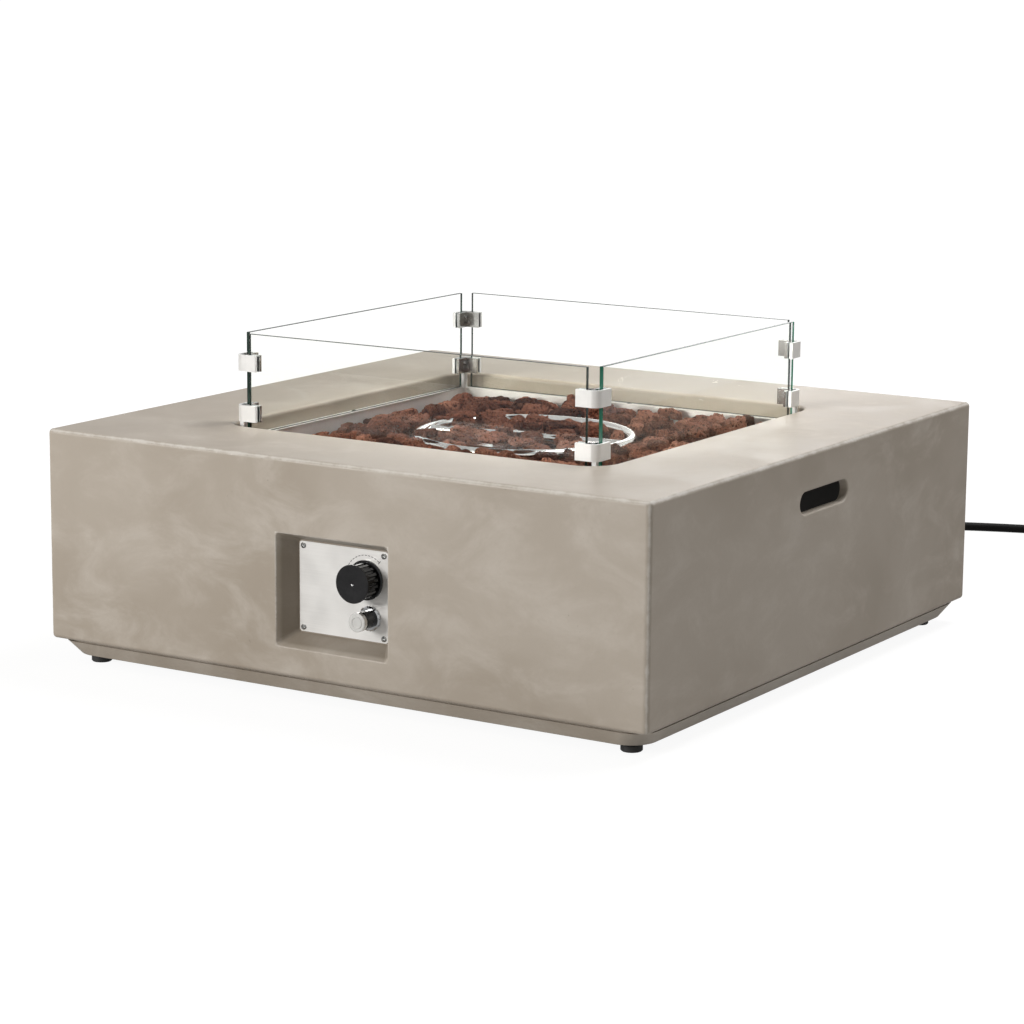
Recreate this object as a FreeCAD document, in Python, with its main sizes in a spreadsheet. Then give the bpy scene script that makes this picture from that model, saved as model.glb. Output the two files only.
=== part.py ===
"""Square gas fire pit table with a glass wind guard, in millimetres.

Frame: origin on the floor under the centre of the table, +Z up, control recess towards -Y.
"""
import FreeCAD
import Part
import Sketcher
import itertools
import math
import os

V = FreeCAD.Vector

# Driving dimensions, each one a cell of the sheet
DIMENSIONS = {
    # housing
    "side": 1000, "table_height": 347, "ground_gap": 14, "plinth_height": 24, "plinth_inset": 20,
    "plinth_lip": 7, "plinth_lip_radius": 33, "plinth_radius": 40, "plinth_round": 3, "reveal": 3,
    "reveal_inset": 12, "wall": 14, "slab": 14, "corner_radius": 8, "top_round": 6, "lower_round": 6,
    "edge_round": 2.5, "opening": 640, "opening_radius": 45, "ledge_drop": 24.2, "ledge_width": 17,
    "rim_drop": 40, "rim_wall": 20, "well_radius": 8,
    # control recess and its plate
    "recess_width": 188, "recess_high": 161, "recess_mid": 160.5, "recess_depth": 31.5,
    "floor_width": 152, "floor_high": 132, "floor_mid": 162.5, "recess_back": 12, "recess_skirt": 8,
    "window_width": 120, "window_high": 100, "window_x": 10,
    "plate_width": 148, "plate_high": 128, "plate_thick": 1.5, "plate_hole_x": 67.5, "plate_hole_z": 58,
    "plate_screw": 1.9,
    # hand holes and gas inlet
    "slot_length": 150, "slot_high": 32, "slot_drop": 71, "inlet_x": 4, "inlet_z": 75, "inlet_bore": 26,
    # steel base and levelling feet
    "foot_inset": 52, "pad_radius": 15, "pad_high": 12, "stud_radius": 4, "stud_top": 40,
    "steel": 3, "angle_width": 38, "angle_high": 22, "nut_high": 6.5, "nut_flats": 13, "thread_gap": 0.05,
    "base_gap": 0.3, "base_rise": 2, "frame_screw": 2.2, "frame_screw_x": 300, "frame_screw_depth": 10,
    # burner pan, heat shield and burner
    "sheet": 1.2, "pan_depth": 60, "pan_gap": 1.8, "flange_gap": 1, "pan_screw": 2, "pan_screw_depth": 11,
    "pan_screw_inset": 10, "drain_place": 230, "drain_radius": 4, "shield_side": 420,
    "shield_foot_place": 190, "shield_foot": 6, "shield_gap": 12.6, "lead_hole": 11, "locknut_high": 9,
    "ring_width": 333, "ring_tube": 16, "ring_drop": 33, "hub_radius": 16, "hub_high": 18,
    "pipe_radius": 9, "pipe_drop": 34, "port": 1.3, "port_depth": 2.5, "port_count": 24,
    "elbow_radius": 13, "elbow_wall": 3, "elbow_reach": 38, "locknut_wall": 6, "bore_gap": 0.3,
    # flame hood
    "hood_x": 3, "hood_y": -79, "hood_width": 44, "hood_deep": 25, "hood_back": 10, "hood_drop": 34,
    "hood_foot": 16, "hood_bolt": 18, "upright_half": 11, "bracket_rise": 12, "bracket_reach": 5,
    "probe_shift": 6, "probe_tail": 12, "electrode_radius": 3.4, "sensor_radius": 3,
    # lava rocks
    "rock_rows": 13, "base_rows": 9, "rock_gap": 0.8, "rock_wall_gap": 0.6, "rock_clear": 0.8,
    "bed_split": 35, "rock_drop": 21, "rock_swing": 24, "cover_high": 15,
    # wind guard
    "glass": 6, "pane_high": 152.5, "pane_drop": 20, "pane_inset": 21.5, "pane_end": 13.5,
    "clip_arm": 36, "clip_high": 24, "clip_band": 4, "clip_round": 12, "clip_cut": 11, "seal": 1,
    "lower_clip": 15.5, "upper_clip": 89.6, "clip_screw": 1.5, "clip_head": 2.8, "screw_beyond": 2.1,
    "screw_stagger": 4, "post": 7, "post_gap": 0.4, "leg_gap": 0.3,
    # knob and valve
    "knob_x": 38, "knob_z": 184, "knob_radius": 27, "grip_radius": 25, "knob_reach": 35, "knob_push": 3,
    "flute_count": 18, "flute": 2.6, "disc": 4, "bezel_radius": 28, "bezel_high": 4, "spindle_radius": 4,
    "spindle_room": 2.5, "spindle_back": 22, "valve_width": 40, "valve_deep": 46, "lug_reach": 34,
    "plug_radius": 11, "plug_deep": 32, "inlet_drop": 23, "outlet_reach": 12,
    # igniter
    "igniter_x": 45, "igniter_z": 131, "cap_radius": 13.5, "cap_reach": 35, "cap_long": 8, "cap_push": 4,
    "neck_radius": 9, "sleeve_radius": 12.5, "push_gap": 0.6, "ignition_bezel": 17.5, "notch": 1.8,
    "ignition_rim": 5, "barrel_radius": 10.5, "barrel_deep": 62, "barrel_floor": 2, "battery_gap": 0.2,
    "battery_seat": 3, "battery_radius": 5.2, "battery_long": 43.5, "battery_pip": 1.9,
    # gas pipes and leads
    "feed_radius": 5, "line_radius": 6, "lead_radius": 1.5, "nipple_back": 18,
    "bulkhead_lip": 5, "bulkhead_radius": 19, "bulkhead_flats": 34, "bulkhead_nut_high": 6,
    "nipple_radius": 9, "nipple_step": 8, "spigot_radius": 6, "spigot_long": 14, "swivel_flats": 25,
    "swivel_long": 20, "ferrule_end": 56, "ferrule_radius": 10,
    # gas hose, its coil and the regulator
    "hose": 15, "hose_rise": 7.6, "loop_pitch": 15.8, "loop_mean": 76, "loop_shift": 440, "loop_reach": 740,
    "coil_tail": 40, "collar_long": 24, "collar_radius": 10, "regulator_radius": 36, "regulator_high": 52,
    "cup_step": 10, "cup_high": 32, "cup_rise": 0.3, "flange_rise": 30, "flange_high": 5,
    "regulator_neck": 8.5, "neck_long": 10, "stem_radius": 7, "stem_long": 26, "stem_start": 12,
    "stop_place": 8, "stop_high": 3, "nut_radius": 20, "nut_long": 28, "nut_flutes": 12, "nut_flute": 3,
    "cup_bore": 15, "cup_deep": 21.4,
}

# Lengths that follow from the sheet
PLINTH_ROOM = "(side - 2 * plinth_inset - 2 * wall)"
FRAME_SCREW_Z = "(ground_gap + base_rise + 14)"
SPINDLE_SEAT = "(spindle_radius + thread_gap)"
FOOT_PLACE = "(side / 2 - foot_inset)"
PAN_ROOM = "(opening / 2 - ledge_width - pan_gap - sheet)"
PAN_SCREW = "(opening / 2 - pan_screw_inset)"
BASE_REACH = "(%s - rock_wall_gap)" % PAN_ROOM
PAN_TOP = "(table_height - ledge_drop + sheet)"
PAN_FLOOR = "(%s - pan_depth)" % PAN_TOP
PAN_UNDER = "(%s - sheet)" % PAN_FLOOR
ELBOW_Z = "(%s - pipe_drop - 10)" % PAN_UNDER
HOOD_RISE = "(table_height - hood_drop - %s)" % PAN_FLOOR
RING_RADIUS = "((ring_width - ring_tube) / 2)"
RING_Z = "(table_height - ring_drop)"
PANE_PLACE = "(opening / 2 - pane_inset)"
PANE_HALF = "(%s - pane_end)" % PANE_PLACE
SCREW_PLACE = "(%s + screw_beyond)" % PANE_HALF
UPPER_REACH = "(%s - glass / 2 - rock_clear)" % PANE_PLACE
CLIP_OUTER = "(%s + glass / 2 + seal + clip_band)" % PANE_PLACE
CLIP_INNER = "(%s - glass / 2 - seal)" % PANE_PLACE
PLATE_BACK = "(side / 2 - recess_depth)"
PLATE_FRONT = "(%s + plate_thick)" % PLATE_BACK
VALVE_BACK = "(%s - valve_deep)" % PLATE_BACK
INLET_Y = "(-(%s + 18))" % VALVE_BACK
REAR_FACE = "(side / 2)"
SLEEVE_END = "(cap_reach - cap_long - cap_push - push_gap)"
LOOP_X = "(inlet_x + loop_shift)"
LOOP_Y = "(%s + loop_reach)" % REAR_FACE

# Counts, angles and shares
CORNERS = ((1, 1), (-1, 1), (-1, -1), (1, -1))
QUARTERS = (("back_right", 0), ("back_left", 1), ("front_left", 2), ("front_right", 3))
FEET = (("front_left", -1, -1), ("front_right", 1, -1), ("back_right", 1, 1), ("back_left", -1, 1))
OUTWARD = FreeCAD.Rotation(V(1, 0, 0), 90)
FEED_TURN = 7.5
ARC_SHARE = 0.45
LOOP_TURNS = 2
HOSE_BENDS = ((2, 300), (10, 430), (56, 560), (146, 652), (331, 724))
ROCK_FACETS = 4
ROCK_NEIGHBOURS = 14
ROCK_JITTER = 0.7
ROCK_WEIGHT = 0.5
MIN_STONE = 1500
VIEW_SIDE = V(0.53, -0.85, 0)

doc = FreeCAD.newDocument("fire_pit_table")
sheet = doc.addObject("Spreadsheet::Sheet", "dims")
for row, (alias, value) in enumerate(DIMENSIONS.items(), start=1):
    sheet.set("A%d" % row, alias)
    sheet.set("B%d" % row, str(value))
    sheet.setAlias("B%d" % row, alias)
doc.recompute()

NODES = {}


def words(expression):
    """Write an expression so that its names point at the sheet."""
    if not isinstance(expression, str):
        return "%.6f" % expression
    out, token = "", ""
    for mark in expression + " ":
        if mark.isalnum() or mark == "_" or mark == ".":
            token += mark
            continue
        out += "dims." + token if token in DIMENSIONS else token
        out += mark
        token = ""
    return out.strip()


def num(expression):
    """Value of an expression of the sheet's names."""
    if not isinstance(expression, str):
        return float(expression)
    result = sheet.evalExpression(words(expression))
    return float(getattr(result, "Value", result))


def bind(thing, prop, expression):
    """Tie one property of a document object to the sheet."""
    thing.setExpression(prop, words(expression))


def place(thing, x=0, y=0, z=0, turn=None):
    """Place a sub-part, with its position tied to the sheet."""
    rotation = turn if turn is not None else FreeCAD.Rotation()
    thing.Placement = FreeCAD.Placement(V(num(x), num(y), num(z)), rotation)
    bind(thing, "Placement.Base.x", x)
    bind(thing, "Placement.Base.y", y)
    bind(thing, "Placement.Base.z", z)


def body(name):
    """Start a body whose label is its node's name."""
    made = doc.addObject("PartDesign::Body", name)
    made.Label = name
    return made


def node(name, thing):
    """Register a finished sub-part under its node's name."""
    thing.Label = name
    NODES[name] = thing
    return thing


def sketch(owner, name, plane="XY_Plane", offset=0):
    """Sketch on one of the body's own planes, moved along that plane's normal."""
    made = owner.newObject("Sketcher::SketchObject", name)
    support = [item for item in owner.Origin.OriginFeatures if item.Role == plane][0]
    made.AttachmentSupport = [(support, "")]
    made.MapMode = "FlatFace"
    made.AttachmentOffset = FreeCAD.Placement(V(0, 0, num(offset)), FreeCAD.Rotation())
    bind(made, "AttachmentOffset.Base.z", offset)
    return made


def fix_point(plan, geometry, point, x, y, label):
    """Hold a sketch point at a place given by two expressions."""
    for kind, value, suffix in (("DistanceX", x, "_x"), ("DistanceY", y, "_y")):
        plan.addConstraint(Sketcher.Constraint(kind, -1, 1, geometry, point, num(value)))
        index = plan.ConstraintCount - 1
        plan.renameConstraint(index, label + suffix)
        bind(plan, "Constraints." + label + suffix, value)


def polygon(plan, points, label="p"):
    """Closed outline of straight edges through points given as expressions."""
    corners = [V(num(x), num(y), 0) for x, y in points]
    first = plan.GeometryCount
    count = len(corners)
    for index in range(count):
        plan.addGeometry(Part.LineSegment(corners[index], corners[(index + 1) % count]), False)
    for index in range(count):
        after = first + (index + 1) % count
        plan.addConstraint(Sketcher.Constraint("Coincident", first + index, 2, after, 1))
    for index, (x, y) in enumerate(points):
        fix_point(plan, first + index, 1, x, y, "%s%d" % (label, index))


def circle(plan, x, y, radius, label="c"):
    """Circle with centre and radius tied to the sheet."""
    index = plan.addGeometry(Part.Circle(V(num(x), num(y), 0), V(0, 0, 1), num(radius)), False)
    fix_point(plan, index, 3, x, y, label)
    plan.addConstraint(Sketcher.Constraint("Radius", index, num(radius)))
    plan.renameConstraint(plan.ConstraintCount - 1, label + "_r")
    bind(plan, "Constraints." + label + "_r", radius)


def rounded(plan, width, high, radius, x=0, y=0, label="q"):
    """Rectangle with round corners, centred on (x, y)."""
    a, b, r, cx, cy = num(width) / 2, num(high) / 2, num(radius), num(x), num(y)
    arcs = []
    for turn, (sx, sy) in enumerate(((1, 1), (-1, 1), (-1, -1), (1, -1))):
        centre = V(cx + sx * (a - r), cy + sy * (b - r), 0)
        start = turn * math.pi / 2
        arc = Part.ArcOfCircle(Part.Circle(centre, V(0, 0, 1), r), start, start + math.pi / 2)
        arcs.append(plan.addGeometry(arc, False))
    for turn in range(4):
        here, after = arcs[turn], arcs[(turn + 1) % 4]
        start = plan.Geometry[here].EndPoint
        end = plan.Geometry[after].StartPoint
        line = plan.addGeometry(Part.LineSegment(start, end), False)
        plan.addConstraint(Sketcher.Constraint("Tangent", here, 2, line, 1))
        plan.addConstraint(Sketcher.Constraint("Tangent", line, 2, after, 1))
        kind = "Horizontal" if turn % 2 == 0 else "Vertical"
        plan.addConstraint(Sketcher.Constraint(kind, line))
    for turn in range(1, 4):
        plan.addConstraint(Sketcher.Constraint("Equal", arcs[0], arcs[turn]))
    plan.addConstraint(Sketcher.Constraint("Radius", arcs[0], r))
    plan.renameConstraint(plan.ConstraintCount - 1, label + "_r")
    bind(plan, "Constraints." + label + "_r", radius)
    half = "(%s) / 2 - (%s)" % (width, radius)
    rise = "(%s) / 2 - (%s)" % (high, radius)
    fix_point(plan, arcs[0], 3, "(%s) + %s" % (x, half), "(%s) + %s" % (y, rise), label + "_a")
    fix_point(plan, arcs[2], 3, "(%s) - (%s)" % (x, half), "(%s) - (%s)" % (y, rise), label + "_b")


def feature(owner, kind, name, plan, length, flip=False):
    """Pad or Pocket of a sketch over a length, with its effect checked by volume."""
    before = owner.Shape.Volume if owner.Shape and not owner.Shape.isNull() else 0.0
    made = owner.newObject("PartDesign::" + kind, name)
    made.Profile = plan
    bind(made, "Length", length)
    made.Length = num(length)
    made.Reversed = flip
    plan.Visibility = False
    doc.recompute()
    grown = owner.Shape.Volume - before
    wrong = grown <= 1e-6 if kind == "Pad" else grown >= -1e-6
    if wrong:
        made.Reversed = not flip
        doc.recompute()
        grown = owner.Shape.Volume - before
        if (grown <= 1e-6) if kind == "Pad" else (grown >= -1e-6):
            raise RuntimeError("no effect: " + name)
    return made


def loft(owner, kind, name, first, last):
    """Straight loft between two sketches, added to the body or cut from it."""
    made = owner.newObject("PartDesign::" + kind, name)
    made.Profile = first
    made.Sections = [last]
    made.Ruled = True
    first.Visibility = False
    last.Visibility = False
    doc.recompute()
    return made


def edges_where(shape, test):
    """Names of the edges whose two ends and middle pass a test."""
    names = []
    for index, edge in enumerate(shape.Edges, start=1):
        first, last = edge.FirstParameter, edge.LastParameter
        spots = [edge.valueAt(first), edge.valueAt((first + last) / 2), edge.valueAt(last)]
        if all(test(spot) for spot in spots):
            names.append("Edge%d" % index)
    return names


def soften(owner, kind, name, size, test):
    """Fillet or Chamfer on the edges that pass a test."""
    base = owner.Tip
    names = edges_where(base.Shape, test)
    if not names:
        raise RuntimeError("no edges for " + name)
    made = owner.newObject("PartDesign::" + kind, name)
    made.Base = (base, names)
    prop = "Radius" if kind == "Fillet" else "Size"
    setattr(made, prop, num(size))
    bind(made, prop, size)
    doc.recompute()
    return made


def near(value, target, slack=0.02):
    """True where two lengths agree within a small slack."""
    return abs(value - num(target)) < slack


def plane_sketch(owner, name, plane, offset, turn):
    """Sketch on an origin plane that is turned about the plane's own upright axis."""
    made = sketch(owner, name, plane, offset)
    made.AttachmentOffset = FreeCAD.Placement(V(0, 0, num(offset)), FreeCAD.Rotation(V(0, 1, 0), turn))
    return made


def slot(plan, length, high, x, y, label="s"):
    """Slot with two half-round ends, lying along the sketch's first axis."""
    half, r = num(length) / 2 - num(high) / 2, num(high) / 2
    cx, cy = num(x), num(y)
    right = Part.Circle(V(cx + half, cy, 0), V(0, 0, 1), r)
    left = Part.Circle(V(cx - half, cy, 0), V(0, 0, 1), r)
    a = plan.addGeometry(Part.ArcOfCircle(right, -math.pi / 2, math.pi / 2), False)
    b = plan.addGeometry(Part.ArcOfCircle(left, math.pi / 2, 3 * math.pi / 2), False)
    top = plan.addGeometry(Part.LineSegment(V(cx + half, cy + r, 0), V(cx - half, cy + r, 0)), False)
    low = plan.addGeometry(Part.LineSegment(V(cx - half, cy - r, 0), V(cx + half, cy - r, 0)), False)
    for first, one, second, two in ((a, 2, top, 1), (top, 2, b, 1), (b, 2, low, 1), (low, 2, a, 1)):
        plan.addConstraint(Sketcher.Constraint("Tangent", first, one, second, two))
    plan.addConstraint(Sketcher.Constraint("Radius", a, r))
    plan.renameConstraint(plan.ConstraintCount - 1, label + "_r")
    bind(plan, "Constraints." + label + "_r", "(%s) / 2" % high)
    shift = "((%s) - (%s)) / 2" % (length, high)
    fix_point(plan, a, 3, "(%s) + %s" % (x, shift), y, label + "_a")
    plan.addConstraint(Sketcher.Constraint("DistanceX", -1, 1, b, 3, cx - half))
    plan.renameConstraint(plan.ConstraintCount - 1, label + "_b")
    bind(plan, "Constraints." + label + "_b", "(%s) - %s" % (x, shift))


def hexagon(plan, x, y, flats, label="h"):
    """Regular hexagon given by its width across flats."""
    points = []
    for step in range(6):
        angle = math.radians(60 * step + 30)
        reach = "(%s) / 2 * %.6f" % (flats, math.cos(angle) / math.cos(math.pi / 6))
        rise = "(%s) / 2 * %.6f" % (flats, math.sin(angle) / math.cos(math.pi / 6))
        points.append(("(%s) + %s" % (x, reach), "(%s) + %s" % (y, rise)))
    polygon(plan, points, label)


def around(owner, name, original, count, base_axis="Z_Axis"):
    """Repeat a feature round one of the body's axes."""
    made = owner.newObject("PartDesign::PolarPattern", name)
    made.Originals = [original]
    axis = [item for item in owner.Origin.OriginFeatures if item.Role == base_axis][0]
    made.Axis = (axis, [""])
    made.Angle = 360
    made.Occurrences = int(count)
    owner.Tip = made
    doc.recompute()
    return made


def turned(name, points, label="turned"):
    """Body of revolution about Z whose outline is given as (radius, height) expressions."""
    made = body(name)
    plan = sketch(made, label + "_outline", "XZ_Plane")
    polygon(plan, points)
    rev = made.newObject("PartDesign::Revolution", label)
    rev.Profile = plan
    rev.ReferenceAxis = (plan, ["V_Axis"])
    rev.Angle = 360
    plan.Visibility = False
    doc.recompute()
    return made


def group(name, members):
    """Several separate solids under one node."""
    made = doc.addObject("Part::Compound", name)
    made.Links = members
    return node(name, made)


def build_case_shell():
    """Cast housing: thin walls, plinth, rounded edges, fire opening, control recess and hand holes."""
    shell = body("case_shell")
    high = "table_height - ground_gap - plinth_height"
    plan = sketch(shell, "outline", offset="ground_gap + plinth_height")
    rounded(plan, "side", "side", "corner_radius")
    feature(shell, "Pad", "block", plan, high)
    add_plinth(shell)
    plan = sketch(shell, "plinth_room", offset="ground_gap")
    rounded(plan, PLINTH_ROOM, PLINTH_ROOM, "plinth_radius - wall")
    feature(shell, "Pocket", "plinth_hollow", plan, "plinth_height + wall", flip=True)
    plan = sketch(shell, "room_outline", offset="ground_gap + plinth_height + wall")
    rounded(plan, "side - 2 * wall", "side - 2 * wall", "corner_radius")
    feature(shell, "Pocket", "room", plan, high + " - wall - slab", flip=True)
    plan = sketch(shell, "rim_outline", offset="table_height - rim_drop")
    rounded(plan, "opening + 2 * rim_wall", "opening + 2 * rim_wall", "opening_radius + rim_wall")
    feature(shell, "Pad", "rim", plan, "rim_drop - slab + 1")
    plan = sketch(shell, "well_outline", offset="table_height - rim_drop")
    rounded(plan, "opening - 2 * ledge_width", "opening - 2 * ledge_width", "well_radius")
    feature(shell, "Pocket", "well", plan, "rim_drop", flip=True)
    plan = sketch(shell, "opening_outline", offset="table_height")
    rounded(plan, "opening", "opening", "opening_radius")
    feature(shell, "Pocket", "fire_opening", plan, "ledge_drop")
    add_recess(shell)
    add_wall_holes(shell)
    round_shell(shell)
    return node("case_shell", shell)


def add_plinth(shell):
    """Plinth that tapers towards the ground under a shallow reveal line."""
    plan = sketch(shell, "reveal_outline", offset="ground_gap + plinth_height - reveal - 1")
    rounded(plan, "side - 2 * reveal_inset", "side - 2 * reveal_inset", "plinth_lip_radius")
    feature(shell, "Pad", "reveal_neck", plan, "reveal + 2")
    low = sketch(shell, "plinth_outline", offset="ground_gap")
    rounded(low, "side - 2 * plinth_inset", "side - 2 * plinth_inset", "plinth_radius")
    lip = sketch(shell, "plinth_lip_outline", offset="ground_gap + plinth_height - reveal")
    rounded(lip, "side - 2 * plinth_lip", "side - 2 * plinth_lip", "plinth_lip_radius")
    loft(shell, "AdditiveLoft", "plinth", low, lip)


def add_recess(shell):
    """Control recess: a tapered niche with its own box behind the front wall."""
    back = "side / 2 - recess_depth - recess_back"
    plan = sketch(shell, "recess_box_outline", "XZ_Plane", back)
    rounded(plan, "recess_width + 2 * recess_skirt", "recess_high + 2 * recess_skirt", "lower_round",
            0, "recess_mid")
    feature(shell, "Pad", "recess_box", plan, "recess_depth + recess_back - wall + 1")
    mouth = sketch(shell, "recess_mouth", "XZ_Plane", "side / 2")
    rounded(mouth, "recess_width", "recess_high", "top_round", 0, "recess_mid")
    floor = sketch(shell, "recess_floor", "XZ_Plane", "side / 2 - recess_depth")
    rounded(floor, "floor_width", "floor_high", "lower_round", 0, "floor_mid")
    loft(shell, "SubtractiveLoft", "niche", mouth, floor)
    plan = sketch(shell, "window_outline", "XZ_Plane", "side / 2 - recess_depth")
    rounded(plan, "window_width", "window_high", "lower_round", "window_x", "recess_mid")
    feature(shell, "Pocket", "window", plan, "recess_back + 1")
    plan = sketch(shell, "plate_screw_plan", "XZ_Plane", "side / 2 - recess_depth")
    for index, (sx, sz) in enumerate(CORNERS):
        x, z = "%d * plate_hole_x" % sx, "floor_mid + %d * plate_hole_z" % sz
        circle(plan, x, z, "plate_screw + thread_gap", "hole%d" % index)
    feature(shell, "Pocket", "plate_screw_holes", plan, "recess_back - 3")


def add_wall_holes(shell):
    """Hand holes in both side walls, the gas inlet and the blind holes for screws."""
    plan = sketch(shell, "hand_hole_outline", "YZ_Plane", "side / 2")
    slot(plan, "slot_length", "slot_high", 0, "table_height - slot_drop")
    feature(shell, "Pocket", "hand_holes", plan, "side")
    plan = sketch(shell, "inlet_outline", "XZ_Plane", "-(side / 2)")
    circle(plan, "inlet_x", "inlet_z", "inlet_bore / 2")
    feature(shell, "Pocket", "inlet_bore", plan, "wall + 1", flip=True)
    plan = sketch(shell, "frame_screw_plan", "XZ_Plane", "-(side / 2 - plinth_inset - wall)")
    circle(plan, "frame_screw_x", FRAME_SCREW_Z, "frame_screw + thread_gap", "left")
    circle(plan, "-frame_screw_x", FRAME_SCREW_Z, "frame_screw + thread_gap", "right")
    holes = feature(shell, "Pocket", "frame_screw_holes", plan, "frame_screw_depth")
    around(shell, "frame_screw_ring", holes, 4)
    plan = sketch(shell, "pan_screw_plan", offset="table_height - ledge_drop")
    circle(plan, PAN_SCREW, 0, "pan_screw + thread_gap")
    holes = feature(shell, "Pocket", "pan_screw_hole", plan, "pan_screw_depth")
    around(shell, "pan_screw_ring", holes, 4)


def round_shell(shell):
    """Soften the edges that a hand or an eye meets."""
    half = num("side / 2")
    rim = half - num("corner_radius") - 1
    top = num("table_height")
    middle = num("recess_mid")
    slot_mid = num("table_height - slot_drop")

    def far(spot):
        return max(abs(spot.x), abs(spot.y))

    soften(shell, "Fillet", "top_edges", "top_round",
           lambda spot: near(spot.z, top) and far(spot) > rim)
    soften(shell, "Fillet", "opening_edge", "top_round",
           lambda spot: near(spot.z, top) and far(spot) < num("opening / 2") + 1)
    soften(shell, "Fillet", "lower_edges", "lower_round",
           lambda spot: near(spot.z, "ground_gap + plinth_height") and far(spot) > rim)
    soften(shell, "Fillet", "recess_edges", "edge_round",
           lambda spot: near(spot.y, -half) and abs(spot.x) < 110 and abs(spot.z - middle) < 95)
    soften(shell, "Fillet", "hand_hole_edges", "edge_round",
           lambda spot: near(abs(spot.x), half) and abs(spot.z - slot_mid) < 20 and abs(spot.y) < 80)
    soften(shell, "Fillet", "plinth_edges", "plinth_round",
           lambda spot: near(spot.z, "ground_gap") and far(spot) > num(PLINTH_ROOM) / 2 + 5)


def build_base_frame():
    """Steel angle frame inside the plinth, with a weld nut over each levelling foot."""
    frame = body("base_frame")
    outer = PLINTH_ROOM + " - 2 * base_gap"
    corner = "plinth_radius - wall - base_gap"
    floor = "ground_gap + base_rise"
    plan = sketch(frame, "flange_outline", offset=floor)
    rounded(plan, outer, outer, corner)
    rounded(plan, outer + " - 2 * angle_width", outer + " - 2 * angle_width", "steel", label="inside")
    feature(frame, "Pad", "flange", plan, "steel")
    plan = sketch(frame, "web_outline", offset=floor)
    rounded(plan, outer, outer, corner)
    rounded(plan, outer + " - 2 * steel", outer + " - 2 * steel", corner + " - steel", label="inside")
    feature(frame, "Pad", "web", plan, "angle_high")
    plan = sketch(frame, "nut_outline", offset=floor + " + steel")
    hexagon(plan, FOOT_PLACE, FOOT_PLACE, "nut_flats")
    nut = feature(frame, "Pad", "weld_nut", plan, "nut_high")
    around(frame, "weld_nuts", nut, 4)
    plan = sketch(frame, "stud_hole_plan", offset=floor)
    circle(plan, FOOT_PLACE, FOOT_PLACE, "stud_radius + thread_gap")
    hole = feature(frame, "Pocket", "stud_hole", plan, "steel + nut_high + 1", flip=True)
    around(frame, "stud_holes", hole, 4)
    plan = sketch(frame, "web_hole_plan", "XZ_Plane", "-((%s) / 2)" % outer)
    circle(plan, "frame_screw_x", FRAME_SCREW_Z, "frame_screw + thread_gap", "left")
    circle(plan, "-frame_screw_x", FRAME_SCREW_Z, "frame_screw + thread_gap", "right")
    hole = feature(frame, "Pocket", "web_hole", plan, "steel + 1", flip=True)
    around(frame, "web_holes", hole, 4)
    return node("base_frame", frame)


def screw(name, shank, length, head, head_high, cross=0.0):
    """Pan-head screw along -Z with the underside of its head at z = 0."""
    top = "%s" % head_high
    made = turned(name, [("0", "-(%s)" % length), (shank, "-(%s)" % length), (shank, "0"),
                         (head, "0"), (head, "(%s) * 0.55" % top), ("(%s) * 0.6" % head, top), ("0", top)])
    if cross:
        plan = sketch(made, "cross_plan", offset=top)
        wide, arm = "(%s) * 0.16" % head, "(%s) * 0.55" % head
        minus_wide, minus_arm = "-(%s)" % wide, "-(%s)" % arm
        polygon(plan, [(wide, wide), (wide, arm), (minus_wide, arm), (minus_wide, wide),
                       (minus_arm, wide), (minus_arm, minus_wide), (minus_wide, minus_wide),
                       (minus_wide, minus_arm), (wide, minus_arm), (wide, minus_wide),
                       (arm, minus_wide), (arm, wide)])
        feature(made, "Pocket", "cross", plan, "(%s) * 0.5" % top)
    return made


def copies(name, master, spots):
    """Copies of one body as one node; each spot is (x, y, z) expressions and a rotation."""
    members = []
    for index, (x, y, z, turn) in enumerate(spots):
        link = doc.addObject("App::Link", "%s_%d" % (name, index))
        link.LinkedObject = master
        link.LinkPlacement = FreeCAD.Placement(V(num(x), num(y), num(z)), turn)
        for axis, value in zip("xyz", (x, y, z)):
            bind(link, "LinkPlacement.Base." + axis, value)
        members.append(link)
    return group(name, members)


def build_frame_screws():
    """Screws from the steel frame into the plinth."""
    master = screw("frame_screw_master", "frame_screw", "steel + frame_screw_depth - 1", "4", "2.4")
    wall_at = "(%s) / 2 - base_gap - steel" % PLINTH_ROOM
    spots = []
    for quarter in range(4):
        turn = FreeCAD.Rotation(V(0, 0, 1), 90 * quarter)
        tip = turn.multiply(FreeCAD.Rotation(V(1, 0, 0), 90))
        for sign in (1, -1):
            ux, uy = ((sign, 0), (0, sign), (-sign, 0), (0, -sign))[quarter]
            vx, vy = ((0, 1), (-1, 0), (0, -1), (1, 0))[quarter]
            x = "%d * frame_screw_x + %d * (%s)" % (ux, vx, wall_at)
            y = "%d * frame_screw_x + %d * (%s)" % (uy, vy, wall_at)
            spots.append((x, y, FRAME_SCREW_Z, tip))
    return copies("frame_screws", master, spots)


def build_feet():
    """Four levelling feet, each a pad moulded on its steel stud."""
    for name, sx, sy in FEET:
        foot = turned("levelling_foot_" + name, [
            ("0", "0"), ("pad_radius - 1.5", "0"), ("pad_radius", "1.5"), ("pad_radius", "pad_high - 3"),
            ("pad_radius - 3", "pad_high"), ("stud_radius", "pad_high"), ("stud_radius", "stud_top - 1"),
            ("stud_radius - 1", "stud_top"), ("0", "stud_top")])
        place(foot, "%d * %s" % (sx, FOOT_PLACE), "%d * %s" % (sy, FOOT_PLACE), 0)
        node("levelling_foot_" + name, foot)


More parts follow.
